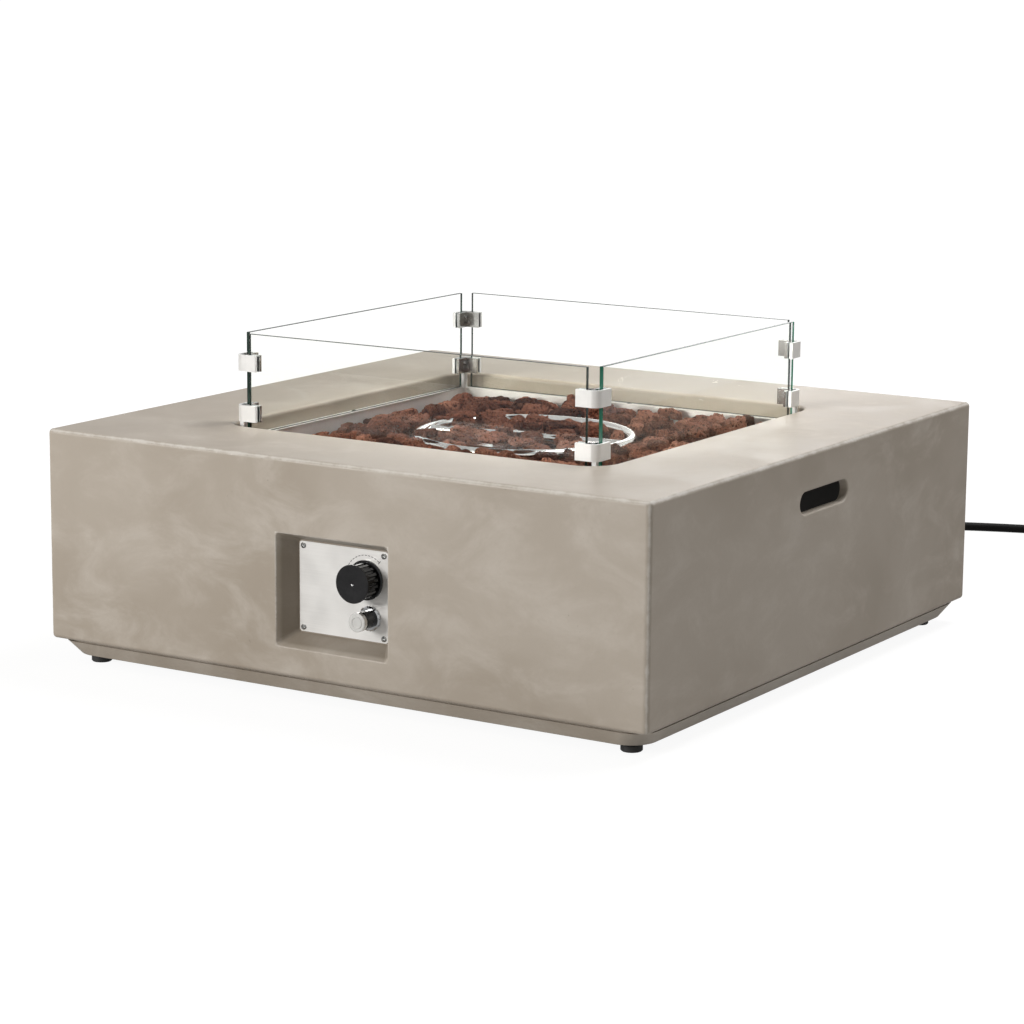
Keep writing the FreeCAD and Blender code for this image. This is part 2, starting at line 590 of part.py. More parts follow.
def build_burner_pan():
    """Folded stainless tray with a flange on the ledge, its drain holes and the burner's holes."""
    pan = body("burner_pan")
    well = "opening - 2 * ledge_width - 2 * pan_gap"
    plan = sketch(pan, "flange_outline", offset="table_height - ledge_drop")
    flange = "opening - 2 * flange_gap"
    rounded(plan, flange, flange, "opening_radius - flange_gap")
    feature(pan, "Pad", "flange", plan, "sheet")
    plan = sketch(pan, "tray_outline", offset=PAN_TOP + " - pan_depth - sheet")
    rounded(plan, well, well, "well_radius - pan_gap")
    feature(pan, "Pad", "tray", plan, "pan_depth")
    plan = sketch(pan, "tray_room", offset=PAN_TOP)
    rounded(plan, well + " - 2 * sheet", well + " - 2 * sheet", "well_radius - pan_gap - sheet")
    feature(pan, "Pocket", "tray_hollow", plan, "pan_depth")
    plan = sketch(pan, "inlet_plan", offset=PAN_FLOOR)
    circle(plan, 0, 0, "pipe_radius + bore_gap", "inlet")
    circle(plan, "hood_x", "hood_y", "lead_hole", "leads")
    feature(pan, "Pocket", "floor_holes", plan, "sheet + 1")
    plan = sketch(pan, "drain_plan", offset=PAN_FLOOR)
    circle(plan, "drain_place", 0, "drain_radius")
    hole = feature(pan, "Pocket", "drain", plan, "sheet + 1")
    around(pan, "drains", hole, 8)
    plan = sketch(pan, "flange_screw_plan", offset=PAN_TOP)
    circle(plan, PAN_SCREW, 0, "pan_screw + thread_gap")
    hole = feature(pan, "Pocket", "flange_screw_hole", plan, "sheet + 1")
    around(pan, "flange_screw_holes", hole, 4)
    return node("burner_pan", pan)


def build_pan_screws():
    """Screws that hold the pan's flange to the ledge."""
    master = screw("pan_screw_master", "pan_screw", "pan_screw_depth", "4", "2", 1)
    spots = []
    for x, y in ((1, 0), (0, 1), (-1, 0), (0, -1)):
        spots.append(("%d * %s" % (x, PAN_SCREW), "%d * %s" % (y, PAN_SCREW), PAN_TOP, FreeCAD.Rotation()))
    return copies("pan_screws", master, spots)


def build_burner():
    """Ring burner: a tube ring with a cross feed, a hub, its inlet pipe and a row of ports."""
    burner = body("burner_ring")
    ring_z = RING_Z
    plan = sketch(burner, "tube_section", "XZ_Plane")
    circle(plan, RING_RADIUS, ring_z, "ring_tube / 2")
    ring = burner.newObject("PartDesign::Revolution", "ring")
    ring.Profile = plan
    ring.ReferenceAxis = (plan, ["V_Axis"])
    ring.Angle = 360
    doc.recompute()
    for side, flip in (("right", False), ("left", True)):
        plan = plane_sketch(burner, "feed_" + side, "YZ_Plane", 0, FEED_TURN)
        circle(plan, 0, ring_z, "ring_tube / 2 - 1")
        feature(burner, "Pad", "feed_tube_" + side, plan, RING_RADIUS, flip)
    plan = sketch(burner, "hub_plan", offset=ring_z + " - hub_high / 2")
    circle(plan, 0, 0, "hub_radius")
    feature(burner, "Pad", "hub", plan, "hub_high")
    plan = sketch(burner, "pipe_plan", offset=ring_z)
    circle(plan, 0, 0, "pipe_radius")
    feature(burner, "Pad", "pipe", plan, ring_z + " - %s + pipe_drop" % PAN_UNDER, flip=True)
    plan = sketch(burner, "port_plan", "YZ_Plane", RING_RADIUS + " - ring_tube / 2 - 1")
    circle(plan, 0, ring_z, "port")
    port = feature(burner, "Pocket", "port_hole", plan, "port_depth + 1", flip=True)
    around(burner, "ports", port, num("port_count"))
    return node("burner_ring", burner)


def build_burner_fittings():
    """Lock nut under the pan and the brass elbow that feeds the burner."""
    nut = body("burner_locknut")
    plan = sketch(nut, "nut_plan", offset=PAN_UNDER)
    hexagon(plan, 0, 0, "2 * (pipe_radius + locknut_wall)")
    feature(nut, "Pad", "nut", plan, "locknut_high", flip=True)
    plan = sketch(nut, "bore_plan", offset=PAN_UNDER)
    circle(plan, 0, 0, "pipe_radius + thread_gap")
    feature(nut, "Pocket", "bore", plan, "locknut_high + 1")
    node("burner_locknut", nut)
    elbow = body("burner_elbow")
    plan = sketch(elbow, "column_plan", offset=ELBOW_Z + " - elbow_radius")
    circle(plan, 0, 0, "elbow_radius")
    feature(elbow, "Pad", "column", plan, "2 * elbow_radius + 4")
    plan = sketch(elbow, "branch_plan", "YZ_Plane")
    circle(plan, 0, ELBOW_Z, "elbow_radius - elbow_wall")
    feature(elbow, "Pad", "branch", plan, "elbow_reach", flip=True)
    plan = sketch(elbow, "socket_plan", offset=PAN_UNDER + " - pipe_drop")
    circle(plan, 0, 0, "pipe_radius + thread_gap")
    feature(elbow, "Pocket", "socket", plan, "2 * elbow_radius", flip=True)
    return node("burner_elbow", elbow)


def build_heat_shield():
    """Steel shield welded under the pan on four pressed feet, with holes for the feed and leads."""
    shield = body("heat_shield")
    plan = sketch(shield, "shield_plan", offset=PAN_UNDER + " - shield_gap - sheet")
    rounded(plan, "shield_side", "shield_side", "10")
    circle(plan, 0, 0, "pipe_radius + 12", "feed")
    circle(plan, "hood_x", "hood_y", "lead_hole + 4", "leads")
    feature(shield, "Pad", "shield", plan, "sheet")
    plan = sketch(shield, "foot_plan", offset=PAN_UNDER + " - shield_gap")
    circle(plan, "shield_foot_place", "shield_foot_place", "shield_foot")
    foot = feature(shield, "Pad", "foot", plan, "shield_gap")
    around(shield, "feet", foot, 4)
    return node("heat_shield", shield)


def build_pilot():
    """Flame hood on its bracket, with the spark electrode and the flame sensor under it."""
    hood = body("flame_hood")
    half, back = "hood_width / 2", "hood_y + hood_back"
    plan = sketch(hood, "foot_plan", offset=PAN_FLOOR)
    polygon(plan, [("hood_x - hood_foot", back), ("hood_x + hood_foot", back),
                   ("hood_x + hood_foot", back + " + hood_foot"),
                   ("hood_x - hood_foot", back + " + hood_foot")])
    feature(hood, "Pad", "foot", plan, "sheet")
    plan = sketch(hood, "upright_plan", offset=PAN_FLOOR)
    polygon(plan, [("hood_x - upright_half", back + " - sheet"), ("hood_x + upright_half", back + " - sheet"),
                   ("hood_x + upright_half", back), ("hood_x - upright_half", back)])
    feature(hood, "Pad", "upright", plan, HOOD_RISE)
    plan = sketch(hood, "roof_plan", offset=PAN_FLOOR + " + " + HOOD_RISE)
    polygon(plan, [("hood_x - " + half, "hood_y - hood_deep"), ("hood_x + " + half, "hood_y - hood_deep"),
                   ("hood_x + " + half, back), ("hood_x - " + half, back)])
    feature(hood, "Pad", "roof", plan, "sheet")
    plan = sketch(hood, "foot_hole_plan", offset=PAN_FLOOR + " + sheet")
    circle(plan, "hood_x", "hood_y + hood_bolt", "pan_screw + thread_gap")
    feature(hood, "Pocket", "foot_hole", plan, "sheet + 1")
    plan = sketch(hood, "clip_plan", offset=PAN_FLOOR + " + bracket_rise")
    polygon(plan, [("hood_x - upright_half", "hood_y - bracket_reach"),
                   ("hood_x + upright_half", "hood_y - bracket_reach"),
                   ("hood_x + upright_half", back + " - sheet"),
                   ("hood_x - upright_half", back + " - sheet")])
    circle(plan, "hood_x + probe_shift", "hood_y", "electrode_radius + thread_gap", "electrode")
    circle(plan, "hood_x - probe_shift", "hood_y", "sensor_radius + thread_gap", "sensor")
    feature(hood, "Pad", "clip", plan, "sheet")
    node("flame_hood", hood)
    electrode = turned("spark_electrode", [
        ("0", "-probe_tail"), ("2.2", "-probe_tail"), ("2.2", "-4"), ("electrode_radius", "-4"),
        ("electrode_radius", "22"), ("1.6", "24"), ("0.9", "24"), ("0.9", "38"), ("0", "38")])
    place(electrode, "hood_x + probe_shift", "hood_y", PAN_FLOOR)
    node("spark_electrode", electrode)
    sensor = turned("flame_sensor", [
        ("0", "-probe_tail"), ("1.6", "-probe_tail"), ("1.6", "-2"), ("sensor_radius", "-2"),
        ("sensor_radius", "26"), ("1.8", "28"), ("1.8", "37"), ("0", "39")])
    place(sensor, "hood_x - probe_shift", "hood_y", PAN_FLOOR)
    return node("flame_sensor", sensor)


def build_panes():
    """Four tempered glass panes standing inside the opening."""
    bottom = "table_height - pane_drop"
    panes = []
    for name, quarter in (("front", 2), ("right", 3), ("back", 0), ("left", 1)):
        pane = body("glass_pane_" + name)
        plan = sketch(pane, "pane_plan", offset=bottom)
        rounded(plan, "2 * " + PANE_HALF, "glass", "0.6", 0, PANE_PLACE)
        feature(pane, "Pad", "pane", plan, "pane_high")
        place(pane, 0, 0, 0, FreeCAD.Rotation(V(0, 0, 1), 90 * quarter))
        panes.append(node("glass_pane_" + name, pane))
    return panes


def angle_section(plan, outer, arm, thick, label="a"):
    """L section in the first quadrant with both outer faces at a distance from the axes."""
    near_edge = "(%s) - (%s)" % (outer, arm)
    inner = "(%s) - (%s)" % (outer, thick)
    polygon(plan, [(near_edge, outer), (outer, outer), (outer, near_edge), (inner, near_edge),
                   (inner, inner), (near_edge, inner)], label)


def screw_pair(owner, name, face, depth, height):
    """Two screw holes from the inner faces of an angle, one a little above the other."""
    plan = sketch(owner, name + "_y_plan", "XZ_Plane", "-(%s)" % face)
    circle(plan, SCREW_PLACE, height + " + screw_stagger", "clip_screw + thread_gap")
    feature(owner, "Pocket", name + "_y", plan, depth)
    plan = sketch(owner, name + "_x_plan", "YZ_Plane", face)
    circle(plan, SCREW_PLACE, height + " - screw_stagger", "clip_screw + thread_gap")
    feature(owner, "Pocket", name + "_x", plan, depth)


def build_clip_band(name, middle, bottom, with_post):
    """Outer band of a corner clip, with the post on which a lower clip stands on the pan."""
    band = body(name)
    plan = sketch(band, "band_plan", offset=bottom)
    angle_section(plan, CLIP_OUTER, "clip_arm", "clip_band")
    feature(band, "Pad", "band", plan, "clip_high")
    reach = num(CLIP_OUTER)
    soften(band, "Fillet", "outer_round", "clip_round",
           lambda spot: near(spot.x, reach) and near(spot.y, reach))
    bite = reach - num("clip_band")
    soften(band, "Fillet", "inner_round", "clip_round - clip_band",
           lambda spot: near(spot.x, bite) and near(spot.y, bite))
    if with_post:
        near_side, far_side = CLIP_INNER + " + post_gap", CLIP_INNER + " + post_gap + post"
        plan = sketch(band, "post_plan", offset=PAN_TOP + " + leg_gap")
        polygon(plan, [(near_side, near_side), (far_side, near_side), (far_side, far_side),
                       (near_side, far_side)])
        feature(band, "Pad", "post", plan, middle + " - (%s) - leg_gap" % PAN_TOP)
    screw_pair(band, "hole", CLIP_OUTER + " - clip_band", "clip_band - 1", middle)
    return band


def build_corner_clips():
    """Corner clips: an outer band and an inner plate at each corner and level."""
    for level in ("upper", "lower"):
        plates = []
        middle = "table_height + %s_clip" % level
        bottom = middle + " - clip_high / 2"
        for name, quarter in QUARTERS:
            turn = FreeCAD.Rotation(V(0, 0, 1), 90 * quarter)
            band = build_clip_band("%s_clip_%s" % (level, name), middle, bottom, level == "lower")
            place(band, 0, 0, 0, turn)
            node(band.Name, band)
            plate = body("%s_plate_%s" % (level, name))
            plan = sketch(plate, "plate_plan", offset=bottom)
            angle_section(plan, CLIP_INNER, "clip_arm - clip_cut", "clip_band")
            feature(plate, "Pad", "plate", plan, "clip_high")
            screw_pair(plate, "hole", CLIP_INNER + " - clip_band", "clip_band + 1", middle)
            place(plate, 0, 0, 0, turn)
            plates.append(plate)
        group("%s_clip_plates" % level, plates)


def build_clip_screws():
    """Phillips screws that draw each inner plate towards its band."""
    inner = CLIP_INNER + " - clip_band"
    length = "clip_band + seal + glass + seal + clip_band - 1.3"
    master = screw("clip_screw_master", "clip_screw", length, "clip_head", "2", 1)
    spots = []
    for level in ("upper", "lower"):
        for _, quarter in QUARTERS:
            for along, stagger in ((0, "+"), (1, "-")):
                cos, sin = ((1, 0), (0, 1), (-1, 0), (0, -1))[quarter]
                lx, ly = (SCREW_PLACE, inner) if along == 0 else (inner, SCREW_PLACE)
                x = "%d * (%s) - %d * (%s)" % (cos, lx, sin, ly)
                y = "%d * (%s) + %d * (%s)" % (sin, lx, cos, ly)
                z = "table_height + %s_clip %s screw_stagger" % (level, stagger)
                tip = FreeCAD.Rotation(V(1, 0, 0), 90) if along == 0 else FreeCAD.Rotation(V(0, 1, 0), -90)
                turn = FreeCAD.Rotation(V(0, 0, 1), 90 * quarter).multiply(tip)
                spots.append((x, y, z, turn))
    return copies("clip_screws", master, spots)


def build_clip_seals():
    """Clear rubber pads between the glass and the clips."""
    members = []
    start = CLIP_OUTER + " - clip_arm"
    for level in ("upper", "lower"):
        bottom = "table_height + %s_clip - clip_high / 2" % level
        for _, quarter in QUARTERS:
            for face in (PANE_PLACE + " + glass / 2", PANE_PLACE + " - glass / 2 - seal"):
                for along in (0, 1):
                    made = body("seal_%d" % len(members))
                    plan = sketch(made, "seal_plan", offset=bottom)
                    far_face = face + " + seal"
                    points = [(start, face), (PANE_HALF, face), (PANE_HALF, far_face), (start, far_face)]
                    if along:
                        points = [(y, x) for x, y in points]
                    polygon(plan, points)
                    feature(made, "Pad", "seal", plan, "clip_high")
                    place(made, 0, 0, 0, FreeCAD.Rotation(V(0, 0, 1), 90 * quarter))
                    members.append(made)
    return group("clip_seals", members)


def build_control_plate():
    """Stainless control plate with its holes, and its four corner screws."""
    plate = body("control_plate")
    plan = sketch(plate, "plate_plan", "XZ_Plane", PLATE_BACK)
    rounded(plan, "plate_width", "plate_high", "4", 0, "floor_mid")
    circle(plan, "knob_x", "knob_z", "spindle_radius + spindle_room", "spindle")
    circle(plan, "igniter_x", "igniter_z", "barrel_radius + bore_gap", "igniter")
    for index, (sx, sz) in enumerate(CORNERS):
        x, z = "%d * plate_hole_x" % sx, "floor_mid + %d * plate_hole_z" % sz
        circle(plan, x, z, "plate_screw + thread_gap", "hole%d" % index)
    feature(plate, "Pad", "plate", plan, "plate_thick")
    node("control_plate", plate)
    master = screw("plate_screw_master", "plate_screw", "plate_thick + recess_back - 4", "4", "2", 1)
    spots = []
    for sx, sz in CORNERS:
        x, z = "%d * plate_hole_x" % sx, "floor_mid + %d * plate_hole_z" % sz
        spots.append((x, "-(%s)" % PLATE_FRONT, z, OUTWARD))
    return copies("control_plate_screws", master, spots)


def build_knob():
    """Black control knob with a wide front disc and a fluted grip, and its dial ring."""
    dial = turned("knob_bezel", [
        ("spindle_radius + spindle_room", "0"), ("bezel_radius", "0"), ("bezel_radius", "bezel_high - 1"),
        ("bezel_radius - 1.5", "bezel_high"), ("grip_radius - 3", "bezel_high"),
        ("grip_radius - 5", "1.5"), ("spindle_radius + spindle_room", "1.5")])
    place(dial, "knob_x", "-(%s)" % PLATE_FRONT, "knob_z", OUTWARD)
    node("knob_bezel", dial)
    low = "bezel_high + knob_push + push_gap"
    neck = "knob_reach - disc"
    knob = turned("control_knob", [
        (SPINDLE_SEAT, low), ("grip_radius", low), ("grip_radius", neck),
        ("knob_radius", neck + " + 1.5"), ("knob_radius", "knob_reach - 1"),
        ("knob_radius - 1", "knob_reach"), ("knob_radius - 3", "knob_reach"), ("0", "knob_reach - 1.5"),
        ("0", "knob_reach - 8"), (SPINDLE_SEAT, "knob_reach - 8")])
    plan = sketch(knob, "flute_plan", offset=low)
    circle(plan, "grip_radius + flute / 4", 0, "flute")
    flute = feature(knob, "Pocket", "flute", plan, neck + " - (%s)" % low, flip=True)
    around(knob, "flutes", flute, num("flute_count"))
    place(knob, "knob_x", "-(%s)" % PLATE_FRONT, "knob_z", OUTWARD)
    node("control_knob", knob)
    spindle = turned("valve_spindle", [
        ("0", "-spindle_back"), ("spindle_radius", "-spindle_back"), ("spindle_radius", "knob_reach - 9"),
        ("spindle_radius - 1", "knob_reach - 8.2"), ("0", "knob_reach - 8.2")])
    place(spindle, "knob_x", "-(%s)" % PLATE_FRONT, "knob_z", OUTWARD)
    return node("valve_spindle", spindle)


def build_valve():
    """Gas valve behind the plate: body, outlet, inlet lug and the plug that the knob turns."""
    valve = body("gas_valve_body")
    plan = sketch(valve, "block_plan", "XZ_Plane", VALVE_BACK)
    rounded(plan, "valve_width", "valve_width", "5", "knob_x", "knob_z")
    feature(valve, "Pad", "block", plan, "valve_deep")
    plan = sketch(valve, "lug_plan", "XZ_Plane", VALVE_BACK)
    rounded(plan, "lug_reach", "20", "4", "knob_x - valve_width / 2 - lug_reach / 2 + 5", "knob_z")
    feature(valve, "Pad", "lug", plan, "valve_deep - 6")
    plan = sketch(valve, "inlet_plan", offset="knob_z")
    circle(plan, "inlet_x", INLET_Y, "8")
    feature(valve, "Pad", "inlet", plan, "inlet_drop", flip=True)
    plan = sketch(valve, "outlet_plan", "XZ_Plane", VALVE_BACK + " + 1")
    circle(plan, "knob_x", "knob_z", "9")
    feature(valve, "Pad", "outlet", plan, "outlet_reach + 1", flip=True)
    plan = sketch(valve, "plug_room_plan", "XZ_Plane", PLATE_BACK)
    circle(plan, "knob_x", "knob_z", "plug_radius + thread_gap")
    feature(valve, "Pocket", "plug_room", plan, "plug_deep + 2")
    node("gas_valve_body", valve)
    plug = turned("valve_plug", [
        (SPINDLE_SEAT, "-plate_thick - 1"), ("plug_radius", "-plate_thick - 1"),
        ("plug_radius", "-plate_thick - plug_deep"), ("0", "-plate_thick - plug_deep"),
        ("0", "-spindle_back - knob_push - 1"), (SPINDLE_SEAT, "-spindle_back - knob_push - 1")])
    place(plug, "knob_x", "-(%s)" % PLATE_FRONT, "knob_z", OUTWARD)
    return node("valve_plug", plug)


def build_igniter():
    """Push igniter: threaded barrel, chromed bezel, battery and the cap that is pressed."""
    barrel = turned("igniter_barrel", [
        ("neck_radius + bore_gap", SLEEVE_END), ("sleeve_radius - 1", SLEEVE_END),
        ("sleeve_radius", SLEEVE_END + " - 1"), ("sleeve_radius", "ignition_rim + base_gap"),
        ("barrel_radius", "ignition_rim + base_gap"), ("barrel_radius", "-barrel_deep"),
        ("0", "-barrel_deep"), ("0", "-barrel_deep + barrel_floor"),
        ("battery_radius + battery_gap", "-barrel_deep + barrel_floor"),
        ("battery_radius + battery_gap", "-6"), ("neck_radius + bore_gap", "-6")])
    place(barrel, "igniter_x", "-(%s)" % PLATE_FRONT, "igniter_z", OUTWARD)
    node("igniter_barrel", barrel)
    bezel = turned("igniter_bezel", [
        ("barrel_radius + thread_gap", "0"), ("ignition_bezel", "0"),
        ("ignition_bezel", "ignition_rim - 1.5"),
        ("ignition_bezel - 2", "ignition_rim"), ("barrel_radius + thread_gap", "ignition_rim")])
    plan = sketch(bezel, "notch_plan", offset="ignition_rim + 1")
    circle(plan, "ignition_bezel + notch / 3", 0, "notch")
    notch = feature(bezel, "Pocket", "notch", plan, "ignition_rim")
    around(bezel, "notches", notch, 12)
    place(bezel, "igniter_x", "-(%s)" % PLATE_FRONT, "igniter_z", OUTWARD)
    node("igniter_bezel", bezel)
    nut = body("igniter_nut")
    plan = sketch(nut, "nut_plan", "XZ_Plane", PLATE_BACK)
    hexagon(plan, "igniter_x", "igniter_z", "2 * barrel_radius + 7")
    circle(plan, "igniter_x", "igniter_z", "barrel_radius + thread_gap", "bore")
    feature(nut, "Pad", "nut", plan, "4", flip=True)
    node("igniter_nut", nut)
    foot = "-barrel_deep + battery_seat"
    head = foot + " + battery_long"
    battery = turned("igniter_battery", [
        ("0", foot), ("battery_radius", foot), ("battery_radius", head), ("battery_pip", head),
        ("battery_pip", head + " + 1"), ("0", head + " + 1")])
    place(battery, "igniter_x", "-(%s)" % PLATE_FRONT, "igniter_z", OUTWARD)
    node("igniter_battery", battery)
    low = "cap_reach - cap_long"
    cap = turned("igniter_cap", [
        ("0", low), ("cap_radius", low), ("cap_radius", "cap_reach - 2"), ("cap_radius - 1", "cap_reach - 1"),
        ("cap_radius - 4.4", "cap_reach - 1"), ("cap_radius - 5", "cap_reach"),
        ("cap_radius - 6.4", "cap_reach"), ("cap_radius - 7", "cap_reach - 1"), ("0", "cap_reach - 1")])
    place(cap, "igniter_x", "-(%s)" % PLATE_FRONT, "igniter_z", OUTWARD)
    node("igniter_cap", cap)
    neck = turned("igniter_plunger", [
        ("0", "-1"), ("neck_radius", "-1"), ("neck_radius", low), ("0", low)])
    place(neck, "igniter_x", "-(%s)" % PLATE_FRONT, "igniter_z", OUTWARD)
    return node("igniter_plunger", neck)


def tangent_wire(points):
    """Straight runs through the points, joined by tangent arcs; gives the wire and its radii."""
    edges, radii = [], []
    start = points[0]
    for index in range(1, len(points) - 1):
        before, here, after = points[index - 1], points[index], points[index + 1]
        u, v = (here - before), (after - here)
        reach = ARC_SHARE * min(u.Length, v.Length)
        u.normalize()
        v.normalize()
        half_turn = u.getAngle(v) / 2
        radius = reach / math.tan(half_turn)
        inward = v - u
        inward.normalize()
        first, last = here - u * reach, here + v * reach
        middle = here + inward * (radius / math.cos(half_turn) - radius)
        edges.append(Part.LineSegment(start, first).toShape())
        edges.append(Part.Arc(first, middle, last).toShape())
        radii.append(radius)
        start = last
    edges.append(Part.LineSegment(start, points[-1]).toShape())
    return Part.Wire(edges), radii


def tube(name, wire, direction, radius):
    """Round tube along a wire, checked against section times length."""
    profile = Part.Wire([Part.Circle(wire.Edges[0].valueAt(wire.Edges[0].FirstParameter),
                                     direction, radius).toShape()])
    solid = wire.makePipeShell([profile], True, False)
    if solid.Volume < 0:
        solid = solid.reversed()
    if solid.ShapeType != "Solid":
        solid = solid.Solids[0]
    wanted = math.pi * radius ** 2 * wire.Length
    print("%s length %.1f volume ratio %.4f" % (name, wire.Length, solid.Volume / wanted))
    made = doc.addObject("Part::Feature", name)
    made.Shape = solid
    made.Placement = FreeCAD.Placement()
    return node(name, made)


def routed_tube(name, route, radius):
    """Tube along a list of points given as expressions."""
    points = [V(num(x), num(y), num(z)) for x, y, z in route]
    wire, radii = tangent_wire(points)
    print("%s bend radii %s" % (name, " ".join("%.0f" % value for value in radii)))
    first = points[1] - points[0]
    return tube(name, wire, first, num(radius))


def build_gas_lines():
    """Feed pipe from the rear inlet to the valve, and the line from the valve to the burner."""
    routed_tube("feed_pipe", [
        ("inlet_x", REAR_FACE + " - wall - nipple_back", "inlet_z"),
        ("inlet_x", "%s" % INLET_Y, "inlet_z"),
        ("inlet_x", "%s" % INLET_Y, "knob_z - inlet_drop")], "feed_radius")
    outlet_y = "-(%s) + outlet_reach" % VALVE_BACK
    routed_tube("burner_line", [
        ("knob_x", outlet_y, "knob_z"),
        ("knob_x", outlet_y + " + 70", "knob_z"),
        ("-70", outlet_y + " + 170", "knob_z + 12"),
        ("-130", "-120", "knob_z + 26"),
        ("-130", "-20", ELBOW_Z),
        ("-90", "0", ELBOW_Z),
        ("-elbow_reach", "0", ELBOW_Z)], "line_radius")


def build_leads():
    """Spark lead and sensor lead, clipped loosely under the pan."""
    barrel_end = "-(%s) + barrel_deep" % PLATE_FRONT
    tail = PAN_FLOOR + " - probe_tail"
    routed_tube("spark_lead", [
        ("igniter_x", barrel_end, "igniter_z"),
        ("igniter_x", barrel_end + " + 60", "igniter_z"),
        ("hood_x + 20", "hood_y - 80", "igniter_z + 30"),
        ("hood_x + probe_shift", "hood_y", tail + " - 40"),
        ("hood_x + probe_shift", "hood_y", tail)], "lead_radius")
    valve_face = "-(%s)" % VALVE_BACK
    routed_tube("sensor_lead", [
        ("knob_x + 12", valve_face, "knob_z + 12"),
        ("knob_x + 12", valve_face + " + 50", "knob_z + 12"),
        ("hood_x", "hood_y - 80", "knob_z + 8"),
        ("hood_x - probe_shift", "hood_y", tail + " - 24"),
        ("hood_x - probe_shift", "hood_y", tail)], "lead_radius")


def build_rear_inlet():
    """Bulkhead fitting in the rear wall, its nut, and the swivel nut and ferrule of the hose."""
    facing = FreeCAD.Rotation(V(1, 0, 0), -90)
    bulkhead = turned("inlet_bulkhead", [
        ("0", "-wall - nipple_back"), ("nipple_radius", "-wall - nipple_back"),
        ("nipple_radius", "-wall - nipple_step"),
        ("inlet_bore / 2 - base_gap", "-wall - nipple_step"), ("inlet_bore / 2 - base_gap", "0"),
        ("bulkhead_radius", "0"), ("bulkhead_radius", "bulkhead_lip"),
        ("spigot_radius + thread_gap", "bulkhead_lip"), ("spigot_radius + thread_gap", "-12"),
        ("0", "-12")])
    place(bulkhead, "inlet_x", REAR_FACE, "inlet_z", facing)
    node("inlet_bulkhead", bulkhead)
    nut = body("bulkhead_nut")
    plan = sketch(nut, "nut_plan", "XZ_Plane", "-(side / 2 - wall)")
    hexagon(plan, "inlet_x", "inlet_z", "bulkhead_flats")
    circle(plan, "inlet_x", "inlet_z", "inlet_bore / 2 - base_gap + thread_gap", "bore")
    feature(nut, "Pad", "nut", plan, "bulkhead_nut_high")
    node("bulkhead_nut", nut)
    swivel = body("hose_nut")
    face = "-(side / 2 + bulkhead_lip + base_gap)"
    plan = sketch(swivel, "nut_plan", "XZ_Plane", face)
    hexagon(plan, "inlet_x", "inlet_z", "swivel_flats")
    feature(swivel, "Pad", "nut", plan, "swivel_long", flip=True)
    plan = sketch(swivel, "spigot_plan", "XZ_Plane", face)
    circle(plan, "inlet_x", "inlet_z", "spigot_radius")
    feature(swivel, "Pad", "spigot", plan, "spigot_long")
    node("hose_nut", swivel)
    start = "bulkhead_lip + base_gap + swivel_long"
    ferrule = turned("hose_ferrule", [
        ("0", start), ("ferrule_radius", start), ("ferrule_radius", start + " + 1.5"),
        ("ferrule_radius - 0.6", start + " + 2.5"), ("ferrule_radius - 0.6", "ferrule_end - 1.5"),
        ("ferrule_radius - 1.4", "ferrule_end"), ("0", "ferrule_end")])
    place(ferrule, "inlet_x", REAR_FACE, "inlet_z", facing)
    return node("hose_ferrule", ferrule)


def build_hose():
    """Gas hose lying on the ground behind the table, up to the start of its coil."""
    start = REAR_FACE + " + ferrule_end"
    route = [("inlet_x", start, "inlet_z"), ("inlet_x", start + " + 70", "inlet_z"),
             ("inlet_x", start + " + 160", "inlet_z - 40")]
    route += [hose_bend(across, reach) for across, reach in HOSE_BENDS]
    return routed_tube("gas_hose", route + [(LOOP_X, LOOP_Y, "hose_rise")], "hose / 2")


def hose_bend(across, reach):
    """Point of the hose's run on the ground, given from the inlet and the rear face."""
    return "inlet_x + %d" % across, "%s + %d" % (REAR_FACE, reach), "hose_rise"


def arc_from(point, tangent, target):
    """Arc that leaves a point along a tangent and ends at a target."""
    chord = target - point
    angle = chord.getAngle(tangent)
    across = tangent - chord * (tangent.dot(chord) / chord.dot(chord))
    across.normalize()
    middle = point + chord * 0.5 + across * (chord.Length / 2 * math.tan(angle / 2))
    return Part.Arc(point, middle, target)


def biarc(first, along, last, onward):
    """Two tangent arcs between two points with given directions."""
    span, total = last - first, along + onward
    spread = 2 * (1 - along.dot(onward))
    pull = span.dot(total)
    reach = (-pull + math.sqrt(pull ** 2 + spread * span.dot(span))) / spread
    middle = (first + last + (along - onward) * reach) * 0.5
    one = arc_from(first, along, middle)
    back = arc_from(last, onward * -1, middle)
    two = Part.Arc(middle, back.value((back.FirstParameter + back.LastParameter) / 2), last)
    return [one.toShape(), two.toShape()]


def coil_spots():
    """Points and directions at each quarter turn of the two-layer coil."""
    heading = coil_heading()
    pitch, mean = num("loop_pitch"), num("loop_mean")
    outer = mean + pitch * LOOP_TURNS / 2
    left = V(-math.sin(heading), math.cos(heading), 0)
    centre = V(num(LOOP_X), num(LOOP_Y), 0) + left * outer
    low, count = num("hose_rise"), 8 * LOOP_TURNS
    half = count // 2
    spots = []
    for step in range(count + 1):
        angle = heading - math.pi / 2 + step * math.pi / 2
        turns = min(step, count - step) / 4
        radius = outer - pitch * turns
        outward = V(math.cos(angle), math.sin(angle), 0)
        around_dir = V(-math.sin(angle), math.cos(angle), 0)
        inward_rate = 0 if step in (0, half, count) else -pitch / (2 * math.pi) * (1 if step < half else -1)
        rise = 0 if step < half else pitch
        climb = 0
        if step == half:
            rise = pitch / 2
            climb = pitch / (math.pi * radius) * 1.5
        direction = around_dir + outward * (inward_rate / radius) + V(0, 0, climb)
        direction.normalize()
        spots.append((centre + outward * radius + V(0, 0, low + rise), direction))
    return spots


